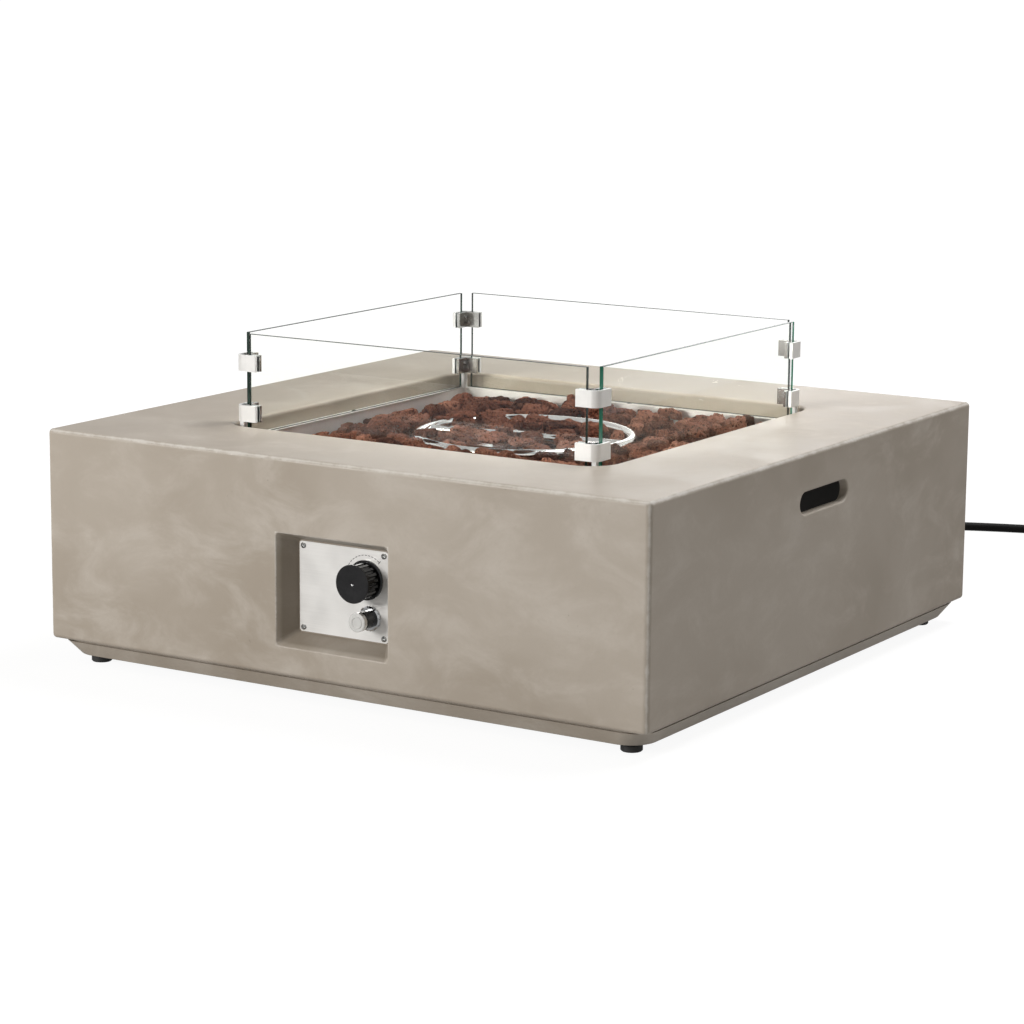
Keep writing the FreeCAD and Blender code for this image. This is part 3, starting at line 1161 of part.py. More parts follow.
def coil_heading():
    """Direction in which the hose reaches its coil, from its last run."""
    x, y, _ = hose_bend(*HOSE_BENDS[-1])
    return math.atan2(num(LOOP_Y) - num(y), num(LOOP_X) - num(x))


def build_coil():
    """Put-away hose: turns that spiral in on the ground and out again on a second layer."""
    spots = coil_spots()
    edges = []
    for (first, along), (last, onward) in zip(spots, spots[1:]):
        edges += biarc(first, along, last, onward)
    end, direction = spots[-1]
    edges.append(Part.LineSegment(end, end + direction * num("coil_tail")).toShape())
    wire = Part.Wire(edges)
    made = tube("gas_hose_coil", wire, spots[0][1], num("hose / 2"))
    print("coil least gap %.2f" % coil_gap(wire, num("hose")))
    return made


def coil_gap(wire, thick):
    """Least gap of the coil to itself, measured on points along its middle line."""
    points = []
    for edge in wire.Edges:
        for part in range(8):
            share = part / 8.0
            points.append(edge.valueAt(edge.FirstParameter
                                       + share * (edge.LastParameter - edge.FirstParameter)))
    step = wire.Length / len(points)
    skip = int(4 * thick / step)
    least = 1e9
    for index, point in enumerate(points):
        for other in points[index + skip:]:
            least = min(least, (point - other).Length)
    return least - thick


def build_regulator():
    """Regulator on the end of the hose, lying flat, with its cover, stem and coupling nut."""
    end, direction = coil_spots()[-1]
    base_spot = end + direction * num("coil_tail")
    turn = FreeCAD.Rotation(V(0, 0, 1), math.degrees(math.atan2(direction.y, direction.x)))
    axis_z = "hose_rise + loop_pitch"
    here = (base_spot.x, base_spot.y, 0)

    collar = body("regulator_ferrule")
    plan = sketch(collar, "collar_plan", "YZ_Plane")
    circle(plan, 0, axis_z, "collar_radius")
    feature(collar, "Pad", "collar", plan, "collar_long")
    place(collar, *here, turn)
    node("regulator_ferrule", collar)

    centre = "collar_long + neck_long + regulator_radius"
    base = body("regulator_body")
    plan = sketch(base, "cup_plan", offset="cup_rise")
    circle(plan, centre, 0, "regulator_radius - cup_step")
    feature(base, "Pad", "cup", plan, "cup_high")
    plan = sketch(base, "flange_plan", offset="flange_rise")
    circle(plan, centre, 0, "regulator_radius")
    feature(base, "Pad", "flange", plan, "flange_high")
    plan = sketch(base, "neck_plan", "YZ_Plane", "collar_long")
    circle(plan, 0, axis_z, "regulator_neck")
    feature(base, "Pad", "neck", plan, "neck_long + 2 * regulator_radius + stem_start")
    start = "collar_long + neck_long + 2 * regulator_radius + stem_start"
    plan = sketch(base, "stem_plan", "YZ_Plane", start)
    circle(plan, 0, axis_z, "stem_radius")
    feature(base, "Pad", "stem", plan, "stem_long")
    plan = sketch(base, "stop_plan", "YZ_Plane", start + " + stop_place")
    circle(plan, 0, axis_z, "stem_radius + 3")
    feature(base, "Pad", "stop", plan, "stop_high")
    place(base, *here, turn)
    node("regulator_body", base)

    low = "flange_rise + flange_high"
    cover = turned("regulator_cover", [
        ("0", low), ("regulator_radius", low), ("regulator_radius", low + " + 3.5"),
        ("regulator_radius - 7", low + " + 5"), ("regulator_radius - cup_step", "regulator_high - 2"),
        ("regulator_radius - cup_step - 2", "regulator_high"), ("9", "regulator_high"),
        ("9", "regulator_high - 1.5"), ("0", "regulator_high - 1.5")])
    spot = base_spot + direction * num(centre)
    place(cover, spot.x, spot.y, 0, turn)
    node("regulator_cover", cover)

    nut = body("coupling_nut")
    plan = sketch(nut, "nut_plan", "YZ_Plane", start + " + 1")
    circle(plan, 0, axis_z, "nut_radius")
    feature(nut, "Pad", "grip", plan, "nut_long")
    plan = sketch(nut, "neck_hole", "YZ_Plane", start + " + 1")
    circle(plan, 0, axis_z, "stem_radius + thread_gap")
    feature(nut, "Pocket", "neck_bore", plan, "nut_long - cup_deep", flip=True)
    plan = sketch(nut, "cup_hole", "YZ_Plane", start + " + 1 + nut_long")
    circle(plan, 0, axis_z, "cup_bore")
    feature(nut, "Pocket", "cup", plan, "cup_deep")
    plan = sketch(nut, "flute_plan", "YZ_Plane", start + " + 2 + nut_long")
    circle(plan, "nut_radius + 1", axis_z, "nut_flute")
    flute = feature(nut, "Pocket", "flute", plan, "nut_long + 2")
    line = nut.newObject("PartDesign::Line", "spin_axis")
    line.AttachmentOffset = FreeCAD.Placement(V(0, 0, 0), FreeCAD.Rotation(V(0, 1, 0), 90))
    line.Placement = FreeCAD.Placement(V(0, 0, num(axis_z)), FreeCAD.Rotation(V(0, 1, 0), 90))
    flutes = nut.newObject("PartDesign::PolarPattern", "flutes")
    flutes.Originals = [flute]
    flutes.Axis = (line, [""])
    flutes.Angle = 360
    flutes.Occurrences = int(num("nut_flutes"))
    nut.Tip = flutes
    place(nut, *here, turn)
    return node("coupling_nut", nut)


def spread(index, salt):
    """Unordered fraction for a numbered rock, the same at every build."""
    value = math.sin(index * 12.9898 + salt * 78.233) * 43758.5453
    return value - math.floor(value)


def rock_seeds(rows, first):
    """Rock centres on a jittered grid inside the pan, each with its own number and weight."""
    reach = num(BASE_REACH)
    cell = 2 * reach / rows
    seeds = []
    for row in range(rows):
        for column in range(rows):
            index = first + row * rows + column
            shift = V(spread(index, 1) - 0.5, spread(index, 2) - 0.5, 0) * (cell * ROCK_JITTER)
            spot = V(-reach + cell * (column + 0.5), -reach + cell * (row + 0.5), 0)
            weight = (cell * ROCK_WEIGHT * spread(index, 3)) ** 2
            seeds.append((index, spot + shift, weight))
    return seeds, cell


def neighbour_planes(index, seed, weight, seeds):
    """Half-spaces between a rock and its nearest neighbours, half a gap short of the middle."""
    others = sorted((other - seed).Length for number, other, _ in seeds if number != index)
    limit = others[ROCK_NEIGHBOURS]
    planes = []
    for number, other, other_weight in seeds:
        link = other - seed
        span = link.Length
        if number == index or span > limit:
            continue
        link.normalize()
        share = span / 2 + (weight - other_weight) / (2 * span)
        planes.append((link, link.dot(seed) + share - num("rock_gap") / 2))
    return planes


def wall_planes(seed, reach, cell):
    """Half-spaces that keep a rock off the pan's walls and out of its round corners."""
    bend = num("well_radius - pan_gap - sheet")
    corner = (num(PAN_ROOM) - bend) * math.sqrt(2) + bend - num("rock_wall_gap")
    planes = []
    for x, y in ((1, 0), (-1, 0), (0, 1), (0, -1)):
        if seed.x * x + seed.y * y > reach - 1.5 * cell:
            planes.append((V(x, y, 0), reach))
    for x, y in CORNERS:
        normal = V(x, y, 0) * (1 / math.sqrt(2))
        if normal.dot(seed) > corner - 1.5 * cell:
            planes.append((normal, corner))
    return planes


def facet_planes(index, middle, cell):
    """Slanting half-spaces that give each rock its own broken faces."""
    planes = []
    for facet in range(ROCK_FACETS):
        angle = 2 * math.pi * (facet / ROCK_FACETS + spread(index, 4 + facet) * 0.2)
        tilt = math.radians(26 + 30 * spread(index, 11 + facet))
        normal = V(math.cos(angle) * math.cos(tilt), math.sin(angle) * math.cos(tilt), math.sin(tilt))
        reach = cell * (0.44 + 0.16 * spread(index, 20 + facet))
        planes.append((normal, normal.dot(middle) + reach))
    return planes


def clear_of(seed, centre, room, cell):
    """Half-space that keeps a rock out of a round room, or None where its seed stands in it."""
    away = seed - centre
    if away.Length < room + 4:
        return None
    if away.Length > room + cell:
        return []
    away.normalize()
    return [(away * -1, -away.dot(centre) - room)]


def hood_spot(behind):
    """Place of the flame hood at a distance behind its roof's middle."""
    middle = (num("hood_back") - num("hood_deep")) / 2
    return V(num("hood_x"), num("hood_y") + middle + behind, 0)


def hood_room(along, across):
    """Radius that clears a plate of the hood, given by its two half sizes."""
    return math.hypot(along, across) + num("rock_clear")


def base_rock(index, seed, weight, seeds, cell):
    """Half-spaces of a rock in the lower layer, which lies on the pan's floor."""
    pipe = clear_of(seed, V(0, 0, 0), num("pipe_radius + rock_clear"), cell)
    half = num("hood_foot") / 2
    behind = num("hood_back + hood_deep") / 2 + half
    foot = clear_of(seed, hood_spot(behind), hood_room(num("hood_foot"), half), cell)
    leads = clear_of(seed, hood_spot(0), hood_room(num("hood_width") / 2, 4), cell)
    if pipe is None or foot is None or leads is None:
        return []
    floor, high = num(PAN_FLOOR + " + rock_clear / 2"), num(PAN_FLOOR + " + bed_split - rock_gap / 2")
    planes = [(V(0, 0, -1), -floor), (V(0, 0, 1), high)]
    middle = V(seed.x, seed.y, (floor + high) / 2)
    planes += facet_planes(index, middle, cell)[::2]
    planes += pipe + foot + leads + wall_planes(seed, num(BASE_REACH), cell)
    return planes + neighbour_planes(index, seed, weight, seeds)


def lies_over(index, seed):
    """True for the rocks that lie across the ring: most of its near arc and one behind."""
    angle = math.degrees(math.atan2(seed.y, seed.x))
    return (-135 < angle < 8 and spread(index, 40) > 0.3) or abs(angle - 120) < 7


def top_height(index, seed, cell):
    """Height of an upper rock: heaped by the walls, lower beside the ring and in front of the hood."""
    share = spread(index, 5)
    ring_gap = seed.Length - num(RING_RADIUS)
    high = num("table_height - rock_drop") + (share - 0.45) * num("rock_swing")
    if ring_gap < 0:
        high = num(RING_Z) + 4 + 14 * (1 - seed.Length / num(RING_RADIUS)) + 8 * share
    if abs(ring_gap) < cell:
        high = min(high, num(RING_Z + " + ring_tube / 2") + 5 * share)
    wall_gap = num(BASE_REACH) - max(abs(seed.x), abs(seed.y))
    if wall_gap < cell:
        high = min(high, num(PAN_TOP) - 6 + 10 * share)
    away = seed - hood_spot(0)
    across = away - VIEW_SIDE * away.dot(VIEW_SIDE)
    if 0 < away.dot(VIEW_SIDE) < 1.6 * cell and across.Length < 0.7 * cell:
        high = min(high, num("table_height - hood_drop") - 1)
    return high


def ring_planes(seed, room, cell):
    """Half-spaces that keep an upper rock beside the ring's tube."""
    ring_gap = seed.Length - num(RING_RADIUS)
    if abs(ring_gap) > cell:
        return []
    sign = -1 if ring_gap > 0 else 1
    outward = V(seed)
    outward.normalize()
    planes = []
    for swing in (-0.14, 0, 0.14):
        cos, sin = math.cos(swing), math.sin(swing)
        side = V(outward.x * cos - outward.y * sin, outward.x * sin + outward.y * cos, 0)
        planes.append((side * sign, sign * (num(RING_RADIUS) - sign * room)))
    return planes


def bar_planes(seed, room, cell):
    """Half-space that keeps an upper rock beside the cross feed."""
    turn = math.radians(FEED_TURN)
    side_gap = seed.y * math.cos(turn) - seed.x * math.sin(turn)
    if seed.Length > num(RING_RADIUS) or abs(side_gap) > cell:
        return []
    sign = 1 if side_gap > 0 else -1
    return [(V(math.sin(turn), -math.cos(turn), 0) * sign, -room)]


def upper_rock(index, seed, weight, seeds, cell):
    """Half-spaces of a rock in the upper layer, beside the burner or lying on it."""
    clear = num("rock_clear")
    ring_room, bar_room = num("ring_tube / 2") + clear, num("ring_tube / 2 - 1") + clear
    turn = math.radians(FEED_TURN)
    side_gap = abs(seed.y * math.cos(turn) - seed.x * math.sin(turn))
    on_ring = abs(seed.Length - num(RING_RADIUS)) < ring_room + 4
    on_bar = seed.Length < num(RING_RADIUS) and side_gap < bar_room + 4 or seed.Length < num("hub_radius") + 6
    if on_ring and not lies_over(index, seed):
        return []
    floor, high = num(PAN_FLOOR + " + bed_split + rock_gap / 2"), top_height(index, seed, cell)
    hood = hood_room(num("hood_width") / 2, num("hood_back + hood_deep") / 2)
    planes = clear_of(seed, hood_spot(0), hood, cell)
    if planes is None:
        return []
    if on_ring or on_bar:
        floor = num(RING_Z) + max(num("hub_high") / 2, num("ring_tube") / 2) + clear
        high = floor + num("cover_high") * (0.8 + 0.4 * spread(index, 6))
    else:
        hub = clear_of(seed, V(0, 0, 0), num("hub_radius") + clear, cell)
        planes = planes + hub + ring_planes(seed, ring_room, cell) + bar_planes(seed, bar_room, cell)
    lean = V(spread(index, 7) - 0.5, spread(index, 8) - 0.5, 2)
    lean.normalize()
    planes += [(V(0, 0, -1), -floor), (lean, lean.dot(V(seed.x, seed.y, high)))]
    planes += facet_planes(index, V(seed.x, seed.y, (floor + high) / 2), cell)
    planes += wall_planes(seed, num(UPPER_REACH), cell)
    return planes + neighbour_planes(index, seed, weight, seeds)


def convex_solid(planes):
    """Solid bounded by half-spaces, each given by its normal and distance."""
    spots = []
    for a, b, c in itertools.combinations(range(len(planes)), 3):
        na, nb, nc = planes[a][0], planes[b][0], planes[c][0]
        scale = na.dot(nb.cross(nc))
        if abs(scale) < 1e-6:
            continue
        point = (nb.cross(nc) * planes[a][1] + nc.cross(na) * planes[b][1]
                 + na.cross(nb) * planes[c][1]) * (1 / scale)
        inside = all(normal.dot(point) <= distance + 1e-6 for normal, distance in planes)
        if inside and all((point - spot).Length > 1e-4 for spot in spots):
            spots.append(point)
    faces = []
    for normal, distance in planes:
        ring = [spot for spot in spots if abs(normal.dot(spot) - distance) < 1e-4]
        if len(ring) < 3:
            continue
        middle = sum(ring, V()) * (1 / len(ring))
        first = ring[0] - middle
        across = normal.cross(first)
        ring.sort(key=lambda spot: math.atan2((spot - middle).dot(across), (spot - middle).dot(first)))
        faces.append(Part.Face(Part.makePolygon(ring + [ring[0]])))
    return Part.Solid(Part.makeShell(faces)) if len(faces) > 3 else None


def rock_layer(rows, first, shape):
    """Separate rocks of one layer of the bed."""
    seeds, cell = rock_seeds(rows, first)
    stones = []
    for index, seed, weight in seeds:
        planes = shape(index, seed, weight, seeds, cell)
        stone = convex_solid(planes) if planes else None
        if stone and stone.isValid() and abs(stone.Volume) > MIN_STONE:
            stones.append(stone)
    return stones


def build_rocks():
    """Lava rocks: a bed of separate stones cut by their neighbours, the pan and the burner."""
    base_rows, rows = int(num("base_rows")), int(num("rock_rows"))
    stones = rock_layer(base_rows, 1, base_rock)
    stones += rock_layer(rows, base_rows ** 2 + 1, upper_rock)
    made = doc.addObject("Part::Feature", "lava_rocks")
    made.Shape = Part.Compound(stones)
    made.Placement = FreeCAD.Placement()
    print("rocks", len(stones))
    return node("lava_rocks", made)


def write_parts():
    """Check every object and write one file per node."""
    doc.recompute()
    for thing in doc.Objects:
        if "Invalid" in thing.State or "Error" in thing.State:
            raise RuntimeError("%s is %s" % (thing.Name, thing.State))
    os.makedirs("parts", exist_ok=True)
    for name, thing in NODES.items():
        shape = thing.Shape
        if shape.isNull() or not shape.isValid() or shape.Volume <= 0:
            raise RuntimeError("bad shape: " + name)
        shape.exportStep("parts/%s.step" % name)
    print("%d nodes" % len(NODES))


build_case_shell()
build_base_frame()
build_frame_screws()
build_feet()
build_burner_pan()
build_pan_screws()
build_burner()
build_burner_fittings()
build_heat_shield()
build_pilot()
build_rocks()
build_panes()
build_corner_clips()
build_clip_screws()
build_clip_seals()
build_control_plate()
build_knob()
build_valve()
build_igniter()
build_gas_lines()
build_leads()
build_rear_inlet()
build_hose()
build_coil()
build_regulator()
write_parts()
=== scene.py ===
"""Looks of a square gas fire pit table: finishes, lava bed, glass guard, controls, hose, studio and camera.

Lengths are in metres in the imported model's frame: floor at z 0, control recess towards -Y.
"""
from __future__ import annotations

import logging
import math
from dataclasses import dataclass, field
from enum import Enum
from functools import reduce

import bmesh
import bpy
from mathutils import Euler, Matrix, Vector


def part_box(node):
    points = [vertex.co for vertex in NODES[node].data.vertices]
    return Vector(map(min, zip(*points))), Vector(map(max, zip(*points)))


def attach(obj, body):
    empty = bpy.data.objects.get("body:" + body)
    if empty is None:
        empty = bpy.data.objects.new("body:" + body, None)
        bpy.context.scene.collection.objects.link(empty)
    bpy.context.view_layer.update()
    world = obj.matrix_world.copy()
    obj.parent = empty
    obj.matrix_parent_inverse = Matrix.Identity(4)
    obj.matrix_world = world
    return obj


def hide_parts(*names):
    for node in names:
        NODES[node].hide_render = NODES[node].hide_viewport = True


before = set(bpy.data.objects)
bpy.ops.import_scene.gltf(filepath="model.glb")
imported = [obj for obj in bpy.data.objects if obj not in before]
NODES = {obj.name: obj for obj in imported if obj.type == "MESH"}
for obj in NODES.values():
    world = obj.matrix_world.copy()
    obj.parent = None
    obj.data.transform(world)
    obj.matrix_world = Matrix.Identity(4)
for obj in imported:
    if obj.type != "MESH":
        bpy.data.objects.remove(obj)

LOG = logging.getLogger("fire_pit_table")
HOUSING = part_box("case_shell")

Colour = tuple[float, float, float]
Point = tuple[float, float, float]
Span = tuple[float, float]
Socket = bpy.types.NodeSocket
Number = float | Socket

WHITE = (1.0, 1.0, 1.0, 1.0)
FADING: Span = (1.0, 0.0)


class Corner(Enum):
    """Corners of the table, named as the nodes write them."""

    FRONT_LEFT = "front_left"
    FRONT_RIGHT = "front_right"
    BACK_RIGHT = "back_right"
    BACK_LEFT = "back_left"


class Side(Enum):
    """Sides of the wind guard, named as the nodes write them."""

    FRONT = "front"
    RIGHT = "right"
    BACK = "back"
    LEFT = "left"


@dataclass(frozen=True)
class Clouds:
    """Cloudy noise: clouds per metre, number and strength of its finer layers, and how far it is dragged."""

    scale: Number
    detail: float = 3.0
    rough: float = 0.5
    twist: float = 0.0


class Tree:
    """Short hand for adding and joining the nodes of one tree.

    where is the place that its patterns read, which each kind of tree sets for itself.
    """

    where: Socket | None = None

    def __init__(self, tree: bpy.types.NodeTree) -> None:
        """Keep the tree that the nodes go into."""
        self.tree = tree

    def join(self, node: bpy.types.Node, inputs: dict) -> None:
        """Set or join inputs of a node.

        Args:
            node: the node.
            inputs: value or socket for each input, by name or number.
        """
        for key, value in inputs.items():
            if isinstance(value, Socket):
                self.tree.links.new(value, node.inputs[key])
            else:
                node.inputs[key].default_value = value

    def add(self, kind: str, inputs: dict | None = None, **settings: object) -> bpy.types.Node:
        """Add a node, set its options, and set or join its inputs.

        Args:
            kind: Blender's type name of the node.
            inputs: value or socket for each input, by name or number.
            settings: options of the node itself.
        Returns:
            The new node.
        """
        made = self.tree.nodes.new(kind)
        for name, value in settings.items():
            setattr(made, name, value)
        self.join(made, inputs or {})
        return made

    def calc(self, operation: str, *numbers: Number) -> Socket:
        """Work out one number from up to three, by the name of the sum."""
        return self.add("ShaderNodeMath", dict(enumerate(numbers)), operation=operation).outputs[0]

    def plus(self, first: Number, second: Number) -> Socket:
        """Sum of two numbers."""
        return self.calc("ADD", first, second)

    def minus(self, first: Number, second: Number) -> Socket:
        """First number less the second."""
        return self.calc("SUBTRACT", first, second)

    def times(self, *numbers: Number) -> Socket:
        """Product of numbers."""
        return reduce(lambda first, second: self.calc("MULTIPLY", first, second), numbers)

    def size(self, value: Number) -> Socket:
        """Number without its sign."""
        return self.calc("ABSOLUTE", value)

    def larger(self, first: Number, second: Number) -> Socket:
        """The larger of two numbers."""
        return self.calc("MAXIMUM", first, second)

    def smaller(self, first: Number, second: Number) -> Socket:
        """The smaller of two numbers."""
        return self.calc("MINIMUM", first, second)

    def under(self, value: Number, limit: Number) -> Socket:
        """1 where a number is less than a limit, otherwise 0."""
        return self.calc("LESS_THAN", value, limit)

    def over(self, value: Number, limit: Number) -> Socket:
        """1 where a number is greater than a limit, otherwise 0."""
        return self.calc("GREATER_THAN", value, limit)

    def shared(self, part: float, first: Number, second: Number) -> Socket:
        """A part of the first number and the rest of the second."""
        return self.plus(self.times(first, part), self.times(second, 1.0 - part))

    def fit(self, value: Number, reads: Span, gives: tuple[Number, Number] = (0.0, 1.0)) -> Socket:
        """Map a range smoothly onto another.

        Args:
            value: what is mapped.
            reads: start and end of the range read.
            gives: answers at its start and its end.
        Returns:
            The socket that holds the answer.
        """
        made = self.add("ShaderNodeMapRange", dict(enumerate((value, *reads, *gives))),
                        interpolation_type="SMOOTHSTEP")
        return made.outputs[0]

    def noise(self, clouds: Clouds, where: Socket | None = None) -> Socket:
        """Cloudy noise from 0 to 1.

        Args:
            clouds: its scale and layers.
            where: place that it reads, otherwise the tree's own.
        Returns:
            The socket that holds the noise.
        """
        made = self.add("ShaderNodeTexNoise", {
            "Vector": self.where if where is None else where, "Scale": clouds.scale,
            "Detail": clouds.detail, "Roughness": clouds.rough, "Distortion": clouds.twist})
        return made.outputs[0]

    def cells(self, scale: Number, where: Socket | None = None) -> Socket:
        """Distance from the middles of a pattern of cells.

        Args:
            scale: cells per metre.
            where: place that it reads, otherwise the tree's own.
        Returns:
            The socket that holds the distance.
        """
        place = self.where if where is None else where
        return self.add("ShaderNodeTexVoronoi", {"Vector": place, "Scale": scale}).outputs["Distance"]

    def stretched(self, scale: Point) -> Socket:
        """Place stretched by a factor along each axis."""
        return self.add("ShaderNodeMapping", {"Vector": self.where, "Scale": scale}).outputs[0]

    def axes(self) -> list[Socket]:
        """X, Y and Z of the place."""
        return list(self.add("ShaderNodeSeparateXYZ", {0: self.where}).outputs)[:3]

    def light_path(self, ray: str) -> Socket:
        """1 for a kind of ray, otherwise 0."""
        return self.add("ShaderNodeLightPath").outputs[ray]

    def seen(self) -> Socket:
        """1 for rays from the camera, straight or through glass."""
        return self.larger(self.light_path("Is Camera Ray"), self.light_path("Is Transmission Ray"))

    def mixed(self, share: Socket, first: bpy.types.Node, second: bpy.types.Node) -> bpy.types.Node:
        """Shader between two others, by the share of the second."""
        return self.add("ShaderNodeMixShader", {0: share, 1: first.outputs[0], 2: second.outputs[0]})


class Paint(Tree):
    """A material under way: its tree, its main shader and Object coordinates as the place."""

    def __init__(self, name: str) -> None:
        """Start the material."""
        self.material = bpy.data.materials.new(name)
        self.material.use_nodes = True
        super().__init__(self.material.node_tree)
        self.shader = self.tree.nodes["Principled BSDF"]
        self.where = self.add("ShaderNodeTexCoord").outputs["Object"]

    def blend(self, share: Number, first: Colour | Socket, second: Colour | Socket) -> Socket:
        """Mix two colours.

        Args:
            share: how much of the second colour.
            first: colour or socket.
            second: colour or socket.
        Returns:
            The socket that holds the colour.
        """
        first, second = (c if isinstance(c, Socket) else (*c, 1.0) for c in (first, second))
        return self.add("ShaderNodeMix", {0: share, 6: first, 7: second}, data_type="RGBA").outputs[2]

    def bump(self, height: Socket, depth: float, under: Socket | None = None) -> Socket:
        """Normal raised by a height.

        Args:
            height: from 0 to 1.
            depth: metres that 1 stands for.
            under: normal that this one lies on.
        Returns:
            The socket that holds the normal.
        """
        inputs = {"Height": height, "Distance": depth, "Strength": 1.0}
        if under is not None:
            inputs["Normal"] = under
        return self.add("ShaderNodeBump", inputs).outputs[0]

    def attribute(self, name: str) -> Socket:
        """Number that the mesh carries under a name."""
        return self.add("ShaderNodeAttribute", attribute_name=name).outputs["Fac"]

    def done(self, inputs: dict, shown: bpy.types.Node | None = None) -> bpy.types.Material:
        """Set the main shader's inputs and hand the material over.

        Args:
            inputs: value or socket for each input of the main shader.
            shown: shader that the surface shows instead of the main one.
        Returns:
            The material.
        """
        self.join(self.shader, inputs)
        if shown is not None:
            self.tree.links.new(shown.outputs[0], self.tree.nodes["Material Output"].inputs[0])
        return self.material


@dataclass(frozen=True)
class Surface:
    """A finish of one stuff: two tones in clouds, a spread of roughness, and a fine grain.

    stretch draws the grain out, as brushing or turning does, speck darkens small spots, and soot darkens what
    lies under its height. The parts are the shares of the clouds, against the grain, in the tone and in the
    roughness. Here and below, reads is the range of a pattern over which a change goes from none to all, and
    layers are the number and the strength of its finer clouds.
    """

    name: str
    dark: Colour
    light: Colour
    roughness: Span
    metallic: float = 0.0
    cloud: float = 9.0
    cloud_layers: Span = (4.0, 0.55)
    cloud_reads: Span = (0.35, 0.65)
    cloud_part: float = 0.7
    rub_part: float = 0.6
    rub_scale: float = 4.0
    rub_reads: Span = (0.3, 0.7)
    grain: float = 700.0
    grain_layers: Span = (2.0, 0.6)
    grain_depth: float = 0.00004
    stretch: Point = (1.0, 1.0, 1.0)
    wave: float = 0.0
    wave_detail: float = 2.0
    wave_depth: float = 0.0
    coat: float = 0.0
    coat_roughness: float = 0.12
    speck: float = 0.0
    speck_reads: Span = (0.62, 0.70)
    speck_shade: float = 0.45
    specks: Clouds = Clouds(60.0, 3.0, 0.7)
    specular: float = 0.5
    soot: float = 0.0
    soot_edge: float = 0.016
    soot_part: float = 0.9
    soot_tone: Colour = (0.085, 0.066, 0.052)
    soot_clouds: Clouds = Clouds(40.0, 4.0, 0.6)

    def tinted(self, t: Paint, grain: Socket) -> Socket:
        """Colour of the surface with its spots and its soot.

        Args:
            t: the material.
            grain: the fine grain.
        Returns:
            The socket that holds the colour.
        """
        tone = t.shared(self.cloud_part, t.noise(Clouds(self.cloud, *self.cloud_layers)), grain)
        colour = t.blend(t.fit(tone, self.cloud_reads), self.dark, self.light)
        if self.speck:
            spots = t.fit(t.noise(self.specks), self.speck_reads, (0.0, self.speck))
            colour = t.blend(spots, colour, tuple(c * self.speck_shade for c in self.dark))
        if self.soot:
            ragged = t.calc("MULTIPLY_ADD", t.noise(self.soot_clouds), self.soot_edge, t.axes()[2])
            share = t.fit(ragged, (self.soot, self.soot + self.soot_edge), (self.soot_part, 0.0))
            colour = t.blend(share, colour, self.soot_tone)
        return colour

    def make(self) -> bpy.types.Material:
        """Build the material.

        Returns:
            The material.
        """
        t = Paint(self.name)
        grain = t.noise(Clouds(self.grain, *self.grain_layers), t.stretched(self.stretch))
        rub = t.shared(self.rub_part, t.noise(Clouds(self.cloud * self.rub_scale)), grain)
        normal = t.bump(grain, self.grain_depth)
        if self.wave_depth:
            normal = t.bump(t.noise(Clouds(self.wave, self.wave_detail)), self.wave_depth, normal)
        return t.done({"Base Color": self.tinted(t, grain), "Normal": normal, "Metallic": self.metallic,
                       "Roughness": t.fit(rub, self.rub_reads, self.roughness),
                       "Coat Weight": self.coat, "Coat Roughness": self.coat_roughness,
                       "Specular IOR Level": self.specular})


